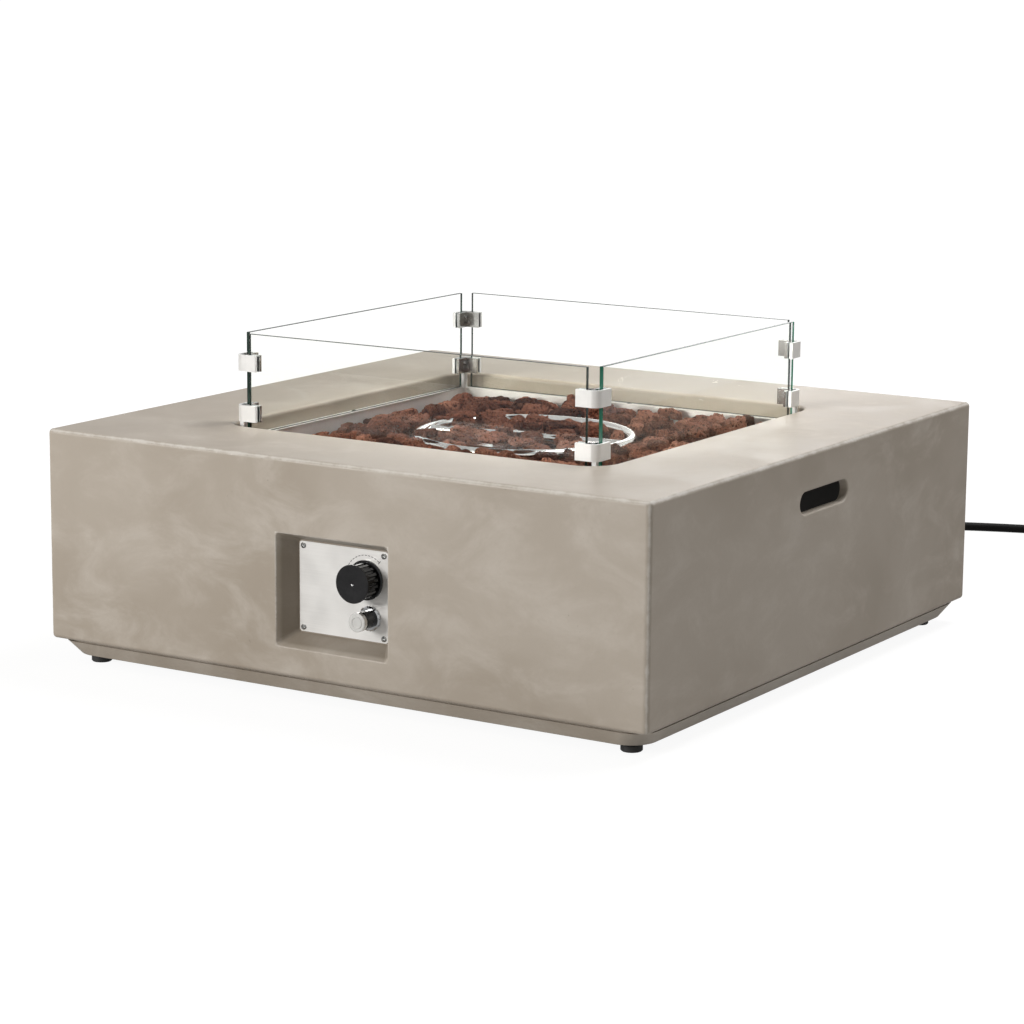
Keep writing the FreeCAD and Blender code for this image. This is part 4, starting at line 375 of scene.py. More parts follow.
@dataclass(frozen=True)
class CastStone:
    """Sealed cast concrete: quiet warm grey clouds, pinholes darkened with painted shade, pale edges that are
    partly wear and partly painted highlight, a painted highlight on the recess lip, painted shade in the
    recess and under the rim of the opening, and a painted dark shade on the inside.

    The plain lengths say where the housing's faces lie: its outer half width and top, the inner side of its
    walls, the wall of the square well, the under side of the slab, the top of the plinth, the opening, and
    the mouth and depth of the control recess.
    """

    name: str = "cast_stone"
    dark: Colour = (0.375, 0.320, 0.258)
    middle: Colour = (0.452, 0.398, 0.335)
    light: Colour = (0.540, 0.490, 0.430)
    rubbed_and_highlight: Colour = (0.76, 0.73, 0.68)
    pinhole_shade: Colour = (0.22, 0.19, 0.16)
    recess_and_rim_shade: Colour = (0.205, 0.170, 0.130)
    inside_shade: Colour = (0.085, 0.078, 0.070)
    half: float = HOUSING[1].x
    top: float = HOUSING[1].z
    wall: float = 0.4868
    well: float = 0.345
    slab: float = 0.3336
    plinth: float = 0.0385
    opening: float = 0.3272
    opening_rim: Span = (0.0045, 0.0004)
    mouth_half: Span = (0.094, 0.0805)
    mouth_z: float = 0.1605
    mouth_rim: Span = (-0.0060, 0.0005)
    mouth_deep: Span = (-0.4985, -0.4900)
    mouth_end: float = -0.4670
    mouth_reach: float = -0.45
    mouth_slack: float = 0.001
    front: float = -0.4965
    edge: float = 0.0050
    edge_core: float = 0.25
    edge_ragged: float = 0.8
    edge_wear_and_highlight: float = 0.75
    ragged: Clouds = Clouds(34.0, 5.0, 0.7)
    lip: Span = (0.0003, 0.0016)
    lip_highlight: float = 0.55
    lip_low: Span = (0.085, 0.115)
    lip_low_highlight: Span = (0.3, 1.0)
    breaks: Clouds = Clouds(45.0, 3.0, 0.6)
    breaks_reads: Span = (0.36, 0.60)
    breaks_highlight: Span = (0.15, 1.0)
    broad: Clouds = Clouds(2.6, 4.0, 0.55, 0.5)
    broad_reads: Span = (0.34, 0.64)
    haze: Clouds = Clouds(8.0, 6.0, 0.66, 0.5)
    haze_stretch: Point = (1.0, 1.0, 1.7)
    haze_reads: Span = (0.42, 0.74)
    haze_part: float = 0.80
    fine: Clouds = Clouds(160.0, 3.0, 0.6)
    fine_reads: Span = (0.50, 0.75)
    fine_part: float = 0.14
    holes_per_metre: float = 130.0
    hole_reads: Span = (0.05, 0.11)
    hole_fields: Clouds = Clouds(22.0, 2.0)
    hole_field_reads: Span = (0.60, 0.68)
    hole_shade: float = 0.5
    hole_depth: float = 0.0006
    swell: Clouds = Clouds(5.0, 2.0, 0.4)
    swell_depth: float = 0.0010
    sand: Clouds = Clouds(420.0, 3.0, 0.6)
    sand_depth: float = 0.00006
    recess_shade: float = 0.75
    shade_reads: Span = (0.3, 0.7)
    shade_parts: Span = (0.95, 0.75)
    rough_reads: Span = (0.35, 0.70)
    roughness: Span = (0.40, 0.56)
    specular: float = 0.5

    def edge_mask(self, t: Paint) -> Socket:
        """Find the outer edges, broken up by noise.

        Args:
            t: the material.
        Returns:
            The socket, 1 on pale edges, which are partly wear and partly a painted highlight of the rounded
            edges.
        """
        x, y, z = t.axes()
        across = [t.minus(self.half, t.size(axis)) for axis in (x, y)]
        second = t.larger(t.smaller(*across), t.smaller(t.larger(*across), t.minus(self.top, z)))
        spread = self.edge * self.edge_ragged
        ragged = t.calc("MULTIPLY_ADD", t.noise(self.ragged), 2 * spread, -spread)
        return t.fit(t.plus(second, ragged), (self.edge * self.edge_core, self.edge), FADING)

    def mouth_gap(self, t: Paint) -> Socket:
        """Measure the distance from the outline of the control recess.

        Args:
            t: the material.
        Returns:
            The socket with the distance, less than 0 inside the outline.
        """
        x, _, z = t.axes()
        across = t.minus(t.size(x), self.mouth_half[0])
        return t.larger(across, t.minus(t.size(t.minus(z, self.mouth_z)), self.mouth_half[1]))

    def lip_highlight_mask(self, t: Paint, gap: Socket) -> Socket:
        """Find the painted highlight on the lip of the control recess, which fades towards the floor.

        Args:
            t: the material.
            gap: distance from the recess's outline.
        Returns:
            The socket, 1 on the lip.
        """
        _, y, z = t.axes()
        breaks = t.fit(t.noise(self.breaks), self.breaks_reads, self.breaks_highlight)
        # painted highlight on the recess lip, broken up by noise and weaker on the lower edge, which is in
        # shade
        lip = t.times(t.fit(t.size(gap), self.lip, (self.lip_highlight, 0.0)), breaks)
        return t.times(lip, t.under(y, self.front), t.fit(z, self.lip_low, self.lip_low_highlight))

    def inside_shade_mask(self, t: Paint, gap: Socket) -> Socket:
        """Find the inner side of the walls, which gets a painted dark shade.

        Args:
            t: the material.
            gap: distance from the recess's outline.
        Returns:
            The socket, 1 on the inner faces.
        """
        x, y, z = t.axes()
        out = t.larger(t.size(x), t.size(y))
        shell = t.times(t.under(out, self.wall), t.over(out, self.well), t.under(z, self.slab),
                        t.over(z, self.plinth))
        recess = t.times(t.under(gap, self.mouth_slack), t.under(y, self.mouth_end))
        return t.times(shell, t.minus(1.0, recess))

    def shade_mask(self, t: Paint, gap: Socket) -> Socket:
        """Find the faces that get painted shade: the recess and the wall of the opening under its rim.

        Args:
            t: the material.
            gap: distance from the recess's outline.
        Returns:
            The socket, 1 on such faces.
        """
        x, y, z = t.axes()
        recess = t.times(t.fit(gap, self.mouth_rim, FADING),
                         t.fit(y, self.mouth_deep, (0.0, self.recess_shade)), t.under(y, self.mouth_reach))
        out = t.larger(t.size(x), t.size(y))
        low, high = self.opening_rim
        below = t.fit(z, (self.top - low, self.top - high), FADING)
        return t.larger(recess, t.times(t.under(out, self.opening), below))

    def make(self) -> bpy.types.Material:
        """Build the material.

        Returns:
            The material.
        """
        t = Paint(self.name)
        haze = t.noise(self.haze, t.stretched(self.haze_stretch))
        colour = t.blend(t.fit(t.noise(self.broad), self.broad_reads), self.dark, self.middle)
        colour = t.blend(t.fit(haze, self.haze_reads, (0.0, self.haze_part)), colour, self.light)
        colour = t.blend(t.fit(t.noise(self.fine), self.fine_reads, (0.0, self.fine_part)), colour, self.dark)
        gap = self.mouth_gap(t)
        # pale outer edges: partly wear, partly a painted highlight where the rounded edges catch the light;
        # the recess lip gets a painted highlight too
        worn_and_highlight = t.larger(t.times(self.edge_mask(t), self.edge_wear_and_highlight), self.lip_highlight_mask(t, gap))
        colour = t.blend(worn_and_highlight, colour, self.rubbed_and_highlight)
        # painted shade in the pinholes: they are coloured darker
        holes = t.times(t.fit(t.cells(self.holes_per_metre), self.hole_reads, FADING),
                        t.fit(t.noise(self.hole_fields), self.hole_field_reads))
        colour = t.blend(t.times(holes, self.hole_shade), colour, self.pinhole_shade)
        # painted shade in the control recess and on the wall of the opening under its rim
        shade = t.times(self.shade_mask(t, gap), t.fit(haze, self.shade_reads, self.shade_parts))
        colour = t.blend(shade, colour, self.recess_and_rim_shade)
        # painted shade: the inside of the hollow housing is coloured near black
        colour = t.blend(self.inside_shade_mask(t, gap), colour, self.inside_shade)
        normal = t.bump(t.noise(self.swell), self.swell_depth)
        normal = t.bump(t.noise(self.sand), self.sand_depth, normal)
        normal = t.bump(t.minus(1.0, holes), self.hole_depth, normal)
        return t.done({"Base Color": colour, "Roughness": t.fit(haze, self.rough_reads, self.roughness),
                       "Normal": normal, "Specular IOR Level": self.specular})


@dataclass(frozen=True)
class LavaStone:
    """Porous lava: rust red to purple brown, each stone with a tone of its own, full of small vesicles, with
    painted shade in its vesicles and in the hollows that the lumps leave.
    """

    name: str = "lava_stone"
    dark: Colour = (0.070, 0.029, 0.022)
    middle: Colour = (0.290, 0.108, 0.066)
    light: Colour = (0.480, 0.215, 0.140)
    dust: Colour = (0.62, 0.36, 0.26)
    pit: Colour = (0.050, 0.024, 0.020)
    crevice_shade: Colour = (0.050, 0.022, 0.018)
    clouds: Clouds = Clouds(70.0, 6.0, 0.72)
    clouds_part: float = 0.48
    middle_reads: Span = (0.22, 0.50)
    light_reads: Span = (0.48, 0.78)
    dusting: Clouds = Clouds(210.0, 5.0, 0.75)
    dusting_reads: Span = (0.54, 0.74)
    dusting_part: float = 0.6
    small_pits: float = 330.0
    small_pit_reads: Span = (0.14, 0.46)
    large_pits: float = 150.0
    large_pit_reads: Span = (0.14, 0.40)
    pit_depth: float = 0.0034
    pit_reads: Span = (0.0, 0.85)
    pit_shade_part: float = 0.75
    crevice_shade_reads: Span = (0.45, 1.0)
    crevice_shade_part: float = 0.8
    crags: Clouds = Clouds(110.0, 6.0, 0.8)
    crag_depth: float = 0.0095
    roughness: Span = (0.98, 0.82)
    specular: float = 0.05

    def make(self) -> bpy.types.Material:
        """Build the material.

        Returns:
            The material.
        """
        t = Paint(self.name)
        mixed = t.shared(self.clouds_part, t.noise(self.clouds), t.attribute("stone_tone"))
        colour = t.blend(t.fit(mixed, self.middle_reads), self.dark, self.middle)
        colour = t.blend(t.fit(mixed, self.light_reads), colour, self.light)
        dusting = t.fit(t.noise(self.dusting), self.dusting_reads, (0.0, self.dusting_part))
        colour = t.blend(dusting, colour, self.dust)
        pits = t.smaller(t.fit(t.cells(self.small_pits), self.small_pit_reads),
                         t.fit(t.cells(self.large_pits), self.large_pit_reads))
        # painted shade in the vesicles: the pits are coloured darker
        colour = t.blend(t.fit(pits, self.pit_reads, (self.pit_shade_part, 0.0)), colour, self.pit)
        # painted shade: darker where the lumps and pits press the skin deepest
        hollow_shade = t.fit(t.attribute("stone_hollow"), self.crevice_shade_reads, (0.0, self.crevice_shade_part))
        colour = t.blend(hollow_shade, colour, self.crevice_shade)
        normal = t.bump(t.noise(self.crags), self.crag_depth)
        return t.done({"Base Color": colour, "Roughness": t.fit(pits, (0.0, 1.0), self.roughness),
                       "Normal": t.bump(pits, self.pit_depth, normal), "Specular IOR Level": self.specular})


@dataclass(frozen=True)
class ClearGlass:
    """Tempered glass that lets lamps through."""

    name: str = "clear_glass"
    tint: Colour = (0.992, 0.997, 0.979)
    smears: Clouds = Clouds(7.0, 4.0, 0.6)
    smear_reads: Span = (0.4, 0.8)
    smear: float = 0.002
    bending: float = 1.25
    specular: float = 0.10

    def make(self) -> bpy.types.Material:
        """Build the material.

        Returns:
            The material.
        """
        t = Paint(self.name)
        tint = (*self.tint, 1.0)
        clear = t.add("ShaderNodeBsdfTransparent", {"Color": tint})
        rough = t.fit(t.noise(self.smears), self.smear_reads, (0.0, self.smear))
        return t.done({"Base Color": tint, "Roughness": rough, "IOR": self.bending,
                       "Specular IOR Level": self.specular, "Transmission Weight": 1.0},
                      t.mixed(t.light_path("Is Shadow Ray"), t.shader, clear))


@dataclass(frozen=True)
class GroundEdge:
    """Ground and polished rim of a pane, where the glass shows its own dark green."""

    name: str
    dark: Colour
    light: Colour
    streaks: Clouds = Clouds(260.0, 3.0, 0.6)
    stretch: Point = (1.0, 1.0, 0.15)
    reads: Span = (0.3, 0.7)
    depth: float = 0.00003
    roughness: Span = (0.12, 0.28)
    bending: float = 1.5
    specular: float = 0.4

    def make(self) -> bpy.types.Material:
        """Build the material.

        Returns:
            The material.
        """
        t = Paint(self.name)
        streak = t.noise(self.streaks, t.stretched(self.stretch))
        colour = t.blend(t.fit(streak, self.reads), self.dark, self.light)
        return t.done({"Base Color": colour, "Roughness": t.fit(streak, self.reads, self.roughness),
                       "Normal": t.bump(streak, self.depth), "IOR": self.bending,
                       "Specular IOR Level": self.specular})


class Finishes:
    """Every finish of the table, made once and found by name."""

    def __init__(self) -> None:
        """Make the materials."""
        steel = {"metallic": 1.0, "grain": 260.0, "grain_depth": 0.000012}
        clip = {"stretch": (1.0, 1.0, 0.1), "grain": 500.0, "grain_depth": 0.0000004}
        surfaces = (
            Surface("brushed_plate", (0.78, 0.77, 0.75), (0.87, 0.86, 0.84), (0.30, 0.42), cloud=7.0,
                    stretch=(0.02, 1.0, 5.0), metallic=0.35, grain=300.0, grain_depth=0.00003),
            Surface("pan_steel", (0.84, 0.825, 0.79), (0.91, 0.895, 0.86), (0.32, 0.40), cloud=6.0,
                    stretch=(1.0, 1.0, 0.4), wave=14.0, wave_depth=0.0002, metallic=0.40, grain=200.0,
                    grain_depth=0.000004, soot=0.286),
            Surface("ring_steel", (0.62, 0.61, 0.59), (0.82, 0.81, 0.79), (0.10, 0.24), cloud=18.0,
                    stretch=(1.0, 1.0, 0.3), speck=0.12, **steel),
            Surface("satin_clip", (0.86, 0.86, 0.85), (0.91, 0.91, 0.90), (0.30, 0.36), cloud=30.0,
                    metallic=0.25, **clip),
            Surface("clip_plate", (0.34, 0.335, 0.32), (0.46, 0.455, 0.44), (0.14, 0.22), cloud=50.0,
                    metallic=1.0, **clip),
            Surface("chrome", (0.46, 0.465, 0.47), (0.60, 0.605, 0.61), (0.04, 0.10), cloud=60.0, **steel),
            Surface("screw_steel", (0.30, 0.30, 0.29), (0.46, 0.46, 0.45), (0.16, 0.30), cloud=160.0,
                    **steel),
            Surface("zinc_plate", (0.48, 0.49, 0.49), (0.66, 0.67, 0.66), (0.30, 0.50), cloud=45.0,
                    metallic=1.0, grain=380.0, grain_depth=0.00003, speck=0.25),
            Surface("machined_brass", (0.52, 0.36, 0.14), (0.72, 0.54, 0.24), (0.20, 0.36), cloud=70.0,
                    metallic=1.0, grain=600.0, grain_depth=0.00001, speck=0.2),
            Surface("die_cast", (0.46, 0.465, 0.47), (0.60, 0.605, 0.61), (0.40, 0.58), cloud=50.0,
                    metallic=1.0, grain=900.0, grain_depth=0.00006),
            Surface("powder_coat", (0.016, 0.016, 0.018), (0.032, 0.032, 0.034), (0.42, 0.60), cloud=30.0,
                    grain=1600.0, grain_depth=0.00010),
            Surface("grey_enamel", (0.20, 0.21, 0.225), (0.28, 0.29, 0.305), (0.30, 0.45), cloud=40.0,
                    grain=1300.0, grain_depth=0.00006),
            Surface("moulded_black", (0.006, 0.006, 0.007), (0.012, 0.012, 0.013), (0.16, 0.26), cloud=60.0,
                    grain=2200.0, grain_depth=0.000004),
            Surface("knob_face", (0.005, 0.0048, 0.0055), (0.010, 0.0095, 0.0105), (0.14, 0.22), cloud=70.0,
                    grain=2600.0, grain_depth=0.000002),
            Surface("foot_rubber", (0.010, 0.010, 0.010), (0.022, 0.021, 0.020), (0.55, 0.72), cloud=90.0,
                    grain=1400.0, grain_depth=0.00006),
            Surface("hose_rubber", (0.005, 0.005, 0.005), (0.009, 0.0085, 0.008), (0.38, 0.52), cloud=22.0,
                    grain=900.0, grain_depth=0.00004, wave=30.0, wave_depth=0.0003, specular=0.12),
            Surface("lead_jacket", (0.30, 0.028, 0.022), (0.42, 0.045, 0.035), (0.38, 0.52), cloud=90.0,
                    grain=1500.0, grain_depth=0.00003),
            Surface("white_glaze", (0.72, 0.71, 0.68), (0.84, 0.83, 0.80), (0.10, 0.22), cloud=120.0,
                    grain=1200.0, grain_depth=0.00002, coat=0.5),
            Surface("silver_cap", (0.80, 0.795, 0.77), (0.88, 0.875, 0.855), (0.16, 0.26), cloud=60.0,
                    metallic=0.4, grain=600.0, grain_depth=0.000003, coat=0.3),
            Surface("clear_pad", (0.60, 0.62, 0.61), (0.74, 0.76, 0.75), (0.35, 0.5), cloud=120.0,
                    grain=1200.0, grain_depth=0.00002),
            Surface("mark_ink", (0.012, 0.012, 0.012), (0.03, 0.03, 0.03), (0.45, 0.6), cloud=200.0,
                    grain=2500.0, grain_depth=0.00001),
            Surface("cell_jacket", (0.05, 0.09, 0.20), (0.07, 0.13, 0.27), (0.25, 0.4), cloud=90.0,
                    grain=900.0, grain_depth=0.00002),
        )
        own = (CastStone(), LavaStone(), ClearGlass(),
               GroundEdge("rim_grey", (0.050, 0.056, 0.052), (0.105, 0.115, 0.108)),
               GroundEdge("rim_dark", (0.004, 0.016, 0.011), (0.012, 0.036, 0.026)),
               GroundEdge("rim_green", (0.006, 0.085, 0.050), (0.016, 0.150, 0.095)))
        self.made = {kind.name: kind.make() for kind in (*surfaces, *own)}

    def dress(self, finish: str, *names: str) -> None:
        """Give a finish to CAD nodes.

        Args:
            finish: name of the finish.
            names: names of the nodes.
        """
        for name in names:
            materials = NODES[name].data.materials
            materials.clear()
            materials.append(self.made[finish])
            LOG.info("dressed %s in %s", name, finish)


def linked(name: str, data: bpy.types.ID) -> bpy.types.Object:
    """Put data into the scene as an object.

    Args:
        name: the object's name.
        data: its mesh, curve, lamp or camera.
    Returns:
        The new object.
    """
    made = bpy.data.objects.new(name, data)
    bpy.context.scene.collection.objects.link(made)
    return made


def finished(name: str, data: bpy.types.ID, slot: str, *stands_for: str,
             body: str = "table") -> bpy.types.Object:
    """Turn a mesh or a curve into a piece of the table.

    Args:
        name: the piece's name.
        data: its mesh or curve, already in place.
        slot: not used.
        stands_for: CAD nodes that it replaces.
        body: the CAD body that it rides on.
    Returns:
        The new object.
    """
    made = linked(name, data)
    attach(made, body)
    if stands_for:
        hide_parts(*stands_for)
    LOG.info("made %s on %s", name, body)
    return made


def mesh_of(bm: bmesh.types.BMesh, name: str) -> bpy.types.Mesh:
    """Turn the faces of a bmesh outwards and hand it over as a mesh.

    Args:
        bm: the bmesh, which is freed.
        name: name of the mesh.
    Returns:
        The new mesh.
    """
    bmesh.ops.recalc_face_normals(bm, faces=bm.faces)
    made = bpy.data.meshes.new(name)
    bm.to_mesh(made)
    bm.free()
    return made


class GeometryTree(Tree):
    """A Geometry Nodes tree with named inputs, for one modifier, around the position as the place."""

    def __init__(self, name: str, sizes: dict[str, float]) -> None:
        """Start the tree with a mesh socket and one float input for each size.

        Args:
            name: the tree's name.
            sizes: value of each named input.
        """
        tree = bpy.data.node_groups.new(name, "GeometryNodeTree")
        for way in ("INPUT", "OUTPUT"):
            tree.interface.new_socket("Geometry", in_out=way, socket_type="NodeSocketGeometry")
        super().__init__(tree)
        self.where = self.add("GeometryNodeInputPosition").outputs[0]
        self.sizes = sizes
        self.keys = {}
        for label, value in sizes.items():
            socket = tree.interface.new_socket(label, in_out="INPUT", socket_type="NodeSocketFloat")
            socket.default_value = value
            self.keys[label] = socket.identifier
        self.start = tree.nodes.new("NodeGroupInput")

    def given(self, label: str) -> Socket:
        """Socket of a named input."""
        return self.start.outputs[label]

    def random(self, number: Socket, top: float, seed: int) -> Socket:
        """Number from 0 to a top, other for each stone."""
        return self.add("FunctionNodeRandomValue", {2: 0.0, 3: top, "ID": number, "Seed": seed},
                        data_type="FLOAT").outputs[1]

    def kept(self, geometry: Socket, name: str, value: Socket) -> Socket:
        """Keep a number at the points.

        Args:
            geometry: what carries it.
            name: name that a material reads it by.
            value: the number.
        Returns:
            The geometry with the number.
        """
        made = self.add("GeometryNodeStoreNamedAttribute",
                        {"Geometry": geometry, "Name": name, "Value": value},
                        data_type="FLOAT", domain="POINT")
        return made.outputs[0]

    def moved(self, geometry: Socket, offset: Socket) -> Socket:
        """Geometry moved by an offset."""
        return self.add("GeometryNodeSetPosition", {"Geometry": geometry, "Offset": offset}).outputs[0]

    def raised(self, geometry: Socket, height: Socket) -> Socket:
        """Geometry moved straight up."""
        return self.moved(geometry, self.add("ShaderNodeCombineXYZ", {"Z": height}).outputs[0])

    def close(self, geometry: Socket, finish: bpy.types.Material) -> None:
        """End the tree with Realize Instances and Set Material.

        Args:
            geometry: what the tree made.
            finish: its material.
        """
        real = self.add("GeometryNodeRealizeInstances", {0: geometry})
        dressed = self.add("GeometryNodeSetMaterial", {"Geometry": real.outputs[0], "Material": finish})
        end = self.tree.nodes.new("NodeGroupOutput")
        self.tree.links.new(dressed.outputs[0], end.inputs[0])

    def run(self, name: str, mesh: bpy.types.Mesh) -> bpy.types.Mesh:
        """Run the tree on a mesh.

        Args:
            name: name of the result.
            mesh: what goes in.
        Returns:
            The plain mesh, with nothing left to evaluate.
        """
        carrier = linked(name, mesh)
        modifier = carrier.modifiers.new("shape", "NODES")
        modifier.node_group = self.tree
        for label, value in self.sizes.items():
            modifier[self.keys[label]] = value
        graph = bpy.context.evaluated_depsgraph_get()
        graph.update()
        made = bpy.data.meshes.new_from_object(carrier.evaluated_get(graph))
        bpy.data.objects.remove(carrier)
        made.name = name
        return made


@dataclass
class Housing:
    """Cast housing with its steel base frame and levelling feet."""

    finishes: Finishes

    def build(self) -> None:
        """Dress the housing and what stands under it."""
        dress = self.finishes.dress
        dress("cast_stone", "case_shell")
        dress("powder_coat", "base_frame")
        dress("zinc_plate", "frame_screws")
        dress("foot_rubber", *("levelling_foot_" + corner.value for corner in Corner))


@dataclass
class Burner:
    """Pan, ring burner, pilot parts and what feeds them."""

    finishes: Finishes

    def build(self) -> None:
        """Dress the burner's nodes."""
        dress = self.finishes.dress
        dress("pan_steel", "burner_pan")
        dress("ring_steel", "burner_ring", "burner_line", "flame_hood")
        dress("screw_steel", "pan_screws", "flame_sensor")
        dress("machined_brass", "burner_locknut", "burner_elbow")
        dress("zinc_plate", "heat_shield")
        dress("white_glaze", "spark_electrode")
        dress("lead_jacket", "spark_lead", "sensor_lead")


@dataclass
class LavaBed:
    """Lava stones, each grown inside the space of its CAD stone.

    voxels are the widths of the faces in the upper and the lower layer, which part at the height split. The
    bed sinks a little towards the left and back walls, where the pan shows.
    """

    finishes: Finishes
    split: float = 0.2990
    voxels: Span = (0.0040, 0.0062)
    band: int = 8
    weld: float = 1e-6
    lump: float = 0.0070
    lump_scale: float = 38.0
    lump_layers: Point = (4.0, 0.62, 0.5)
    lump_reads: Span = (0.32, 0.62)
    pit: float = 0.0026
    pit_scale: float = 120.0
    pit_reads: Span = (0.08, 0.42)
    soften: int = 9
    shrink: float = 0.975
    rise: float = 0.008
    sink: float = 0.20
    back_share: float = 0.78
    sink_reach: Span = (0.195, 0.292)
    bed_floor: float = 0.2646
    noise_room: Point = (9.0, 9.0, 9.0)
    seed: int = 11

    def grown(self, t: GeometryTree) -> tuple[Socket, Socket]:
        """Give each stone a skin of even faces and a number.

        Args:
            t: the tree.
        Returns:
            The stones, and the number that each carries.
        """
        island = t.add("GeometryNodeInputMeshIsland").outputs["Island Index"]
        split = t.add("GeometryNodeSplitToInstances", {"Geometry": t.given("Geometry"), "Group ID": island},
                      domain="POINT")
        marked = t.add("GeometryNodeStoreNamedAttribute",
                       {"Geometry": split.outputs["Instances"], "Name": "stone",
                        "Value": split.outputs["Group ID"]}, data_type="INT", domain="INSTANCE")
        volume = t.add("GeometryNodeMeshToVolume",
                       {"Mesh": marked.outputs[0], "Voxel Size": t.given("Voxel"),
                        "Interior Band Width": t.sizes["Voxel"] * self.band}, resolution_mode="VOXEL_SIZE")
        skin = t.add("GeometryNodeVolumeToMesh",
                     {"Volume": volume.outputs[0], "Voxel Size": t.given("Voxel")},
                     resolution_mode="VOXEL_SIZE")
        real = t.add("GeometryNodeRealizeInstances", {0: skin.outputs[0]})
        number = t.add("GeometryNodeInputNamedAttribute", {"Name": "stone"}, data_type="INT")
        return real.outputs[0], number.outputs["Attribute"]

    def rounded(self, t: GeometryTree, geometry: Socket) -> Socket:
        """Soften the corners that the cells left.

        Args:
            t: the tree.
            geometry: the stones.
        Returns:
            The softened stones.
        """
        soft = t.add("GeometryNodeBlurAttribute", {"Value": t.where, "Iterations": self.soften},
                     data_type="FLOAT_VECTOR")
        placed = t.add("GeometryNodeSetPosition", {"Geometry": geometry, "Position": soft.outputs[0]})
        return placed.outputs[0]

    def settled(self, t: GeometryTree, geometry: Socket, number: Socket) -> Socket:
        """Open the gaps between the stones, and let each lie at a height of its own.

        Args:
            t: the tree.
            geometry: the stones.
            number: each stone's number.
        Returns:
            The stones with their gaps.
        """
        less = t.add("GeometryNodeScaleElements", {"Geometry": geometry, "Scale": t.given("Shrink")},
                     domain="FACE")
        return t.raised(less.outputs[0], t.random(number, self.rise, self.seed + 2))

    def pitted(self, t: GeometryTree, geometry: Socket, number: Socket) -> Socket:
        """Press lumps and pits into the stones, other ones for each.

        Args:
            t: the tree.
            geometry: the stones.
            number: each stone's number.
        Returns:
            The pitted stones, which carry how deep each point lies.
        """
        shift = t.add("FunctionNodeRandomValue", {0: (0.0, 0.0, 0.0), 1: self.noise_room, "ID": number,
                                                  "Seed": self.seed}, data_type="FLOAT_VECTOR")
        where = t.add("ShaderNodeVectorMath", {0: t.where, 1: shift.outputs[0]}, operation="ADD").outputs[0]
        lumps = t.noise(Clouds(t.given("Lump scale"), *self.lump_layers), where)
        holes = t.cells(t.given("Pit scale"), where)
        depth = t.plus(t.times(t.fit(lumps, self.lump_reads, FADING), t.given("Lump")),
                       t.times(t.fit(holes, self.pit_reads, FADING), t.given("Pit")))
        share = t.calc("DIVIDE", depth, t.plus(t.given("Lump"), t.given("Pit")))
        normal = t.add("GeometryNodeInputNormal").outputs[0]
        push = t.add("ShaderNodeVectorMath", {0: normal, "Scale": t.times(depth, -1.0)}, operation="SCALE")
        return t.moved(t.kept(geometry, "stone_hollow", share), push.outputs[0])

    def sunk(self, t: GeometryTree, geometry: Socket) -> Socket:
        """Let the bed sink towards the left and back walls.

        Args:
            t: the tree.
            geometry: the stones.
        Returns:
            The stones in their last place.
        """
        x, y, z = t.axes()
        reach = t.larger(t.times(x, -1.0), t.times(y, self.back_share))
        share = t.fit(reach, self.sink_reach, (0.0, t.given("Sink")))
        return t.raised(geometry, t.times(t.minus(self.bed_floor, z), share))

    def tree(self, voxel: float) -> GeometryTree:
        """Build the tree that turns faceted solids into pitted stones.

        Args:
            voxel: about the width of a face.
        Returns:
            The tree.
        """
        t = GeometryTree("lava_bed", {"Voxel": voxel, "Lump": self.lump, "Lump scale": self.lump_scale,
                                      "Pit": self.pit, "Pit scale": self.pit_scale, "Sink": self.sink,
                                      "Shrink": self.shrink})
        stones, number = self.grown(t)
        loose = self.settled(t, self.rounded(t, stones), number)
        shaped = self.sunk(t, self.pitted(t, loose, number))
        toned = t.kept(shaped, "stone_tone", t.random(number, 1.0, self.seed + 1))
        smooth = t.add("GeometryNodeSetShadeSmooth", {0: toned})
        t.close(smooth.outputs[0], self.finishes.made["lava_stone"])
        return t

    def layer(self, upper: bool) -> bpy.types.Mesh:
        """Take the CAD stones of one layer.

        Args:
            upper: whether the upper layer is taken.
        Returns:
            A mesh of its own with these stones.
        """
        bm = bmesh.new()
        bm.from_mesh(NODES["lava_rocks"].data)
        bmesh.ops.remove_doubles(bm, verts=bm.verts, dist=self.weld)
        other = [vert for vert in bm.verts if (vert.co.z > self.split) != upper]
        bmesh.ops.delete(bm, geom=other, context="VERTS")
        return mesh_of(bm, "stone_layer")

    def build(self) -> None:
        """Grow the stones of both layers and stand them in for the CAD bed."""
        for name, upper, voxel in zip(("lava_stones", "lava_stones_under"), (True, False), self.voxels):
            mesh = self.tree(voxel).run(name, self.layer(upper))
            LOG.info("%s has %d faces", name, len(mesh.polygons))
            finished(name, mesh, "lava", "lava_rocks")


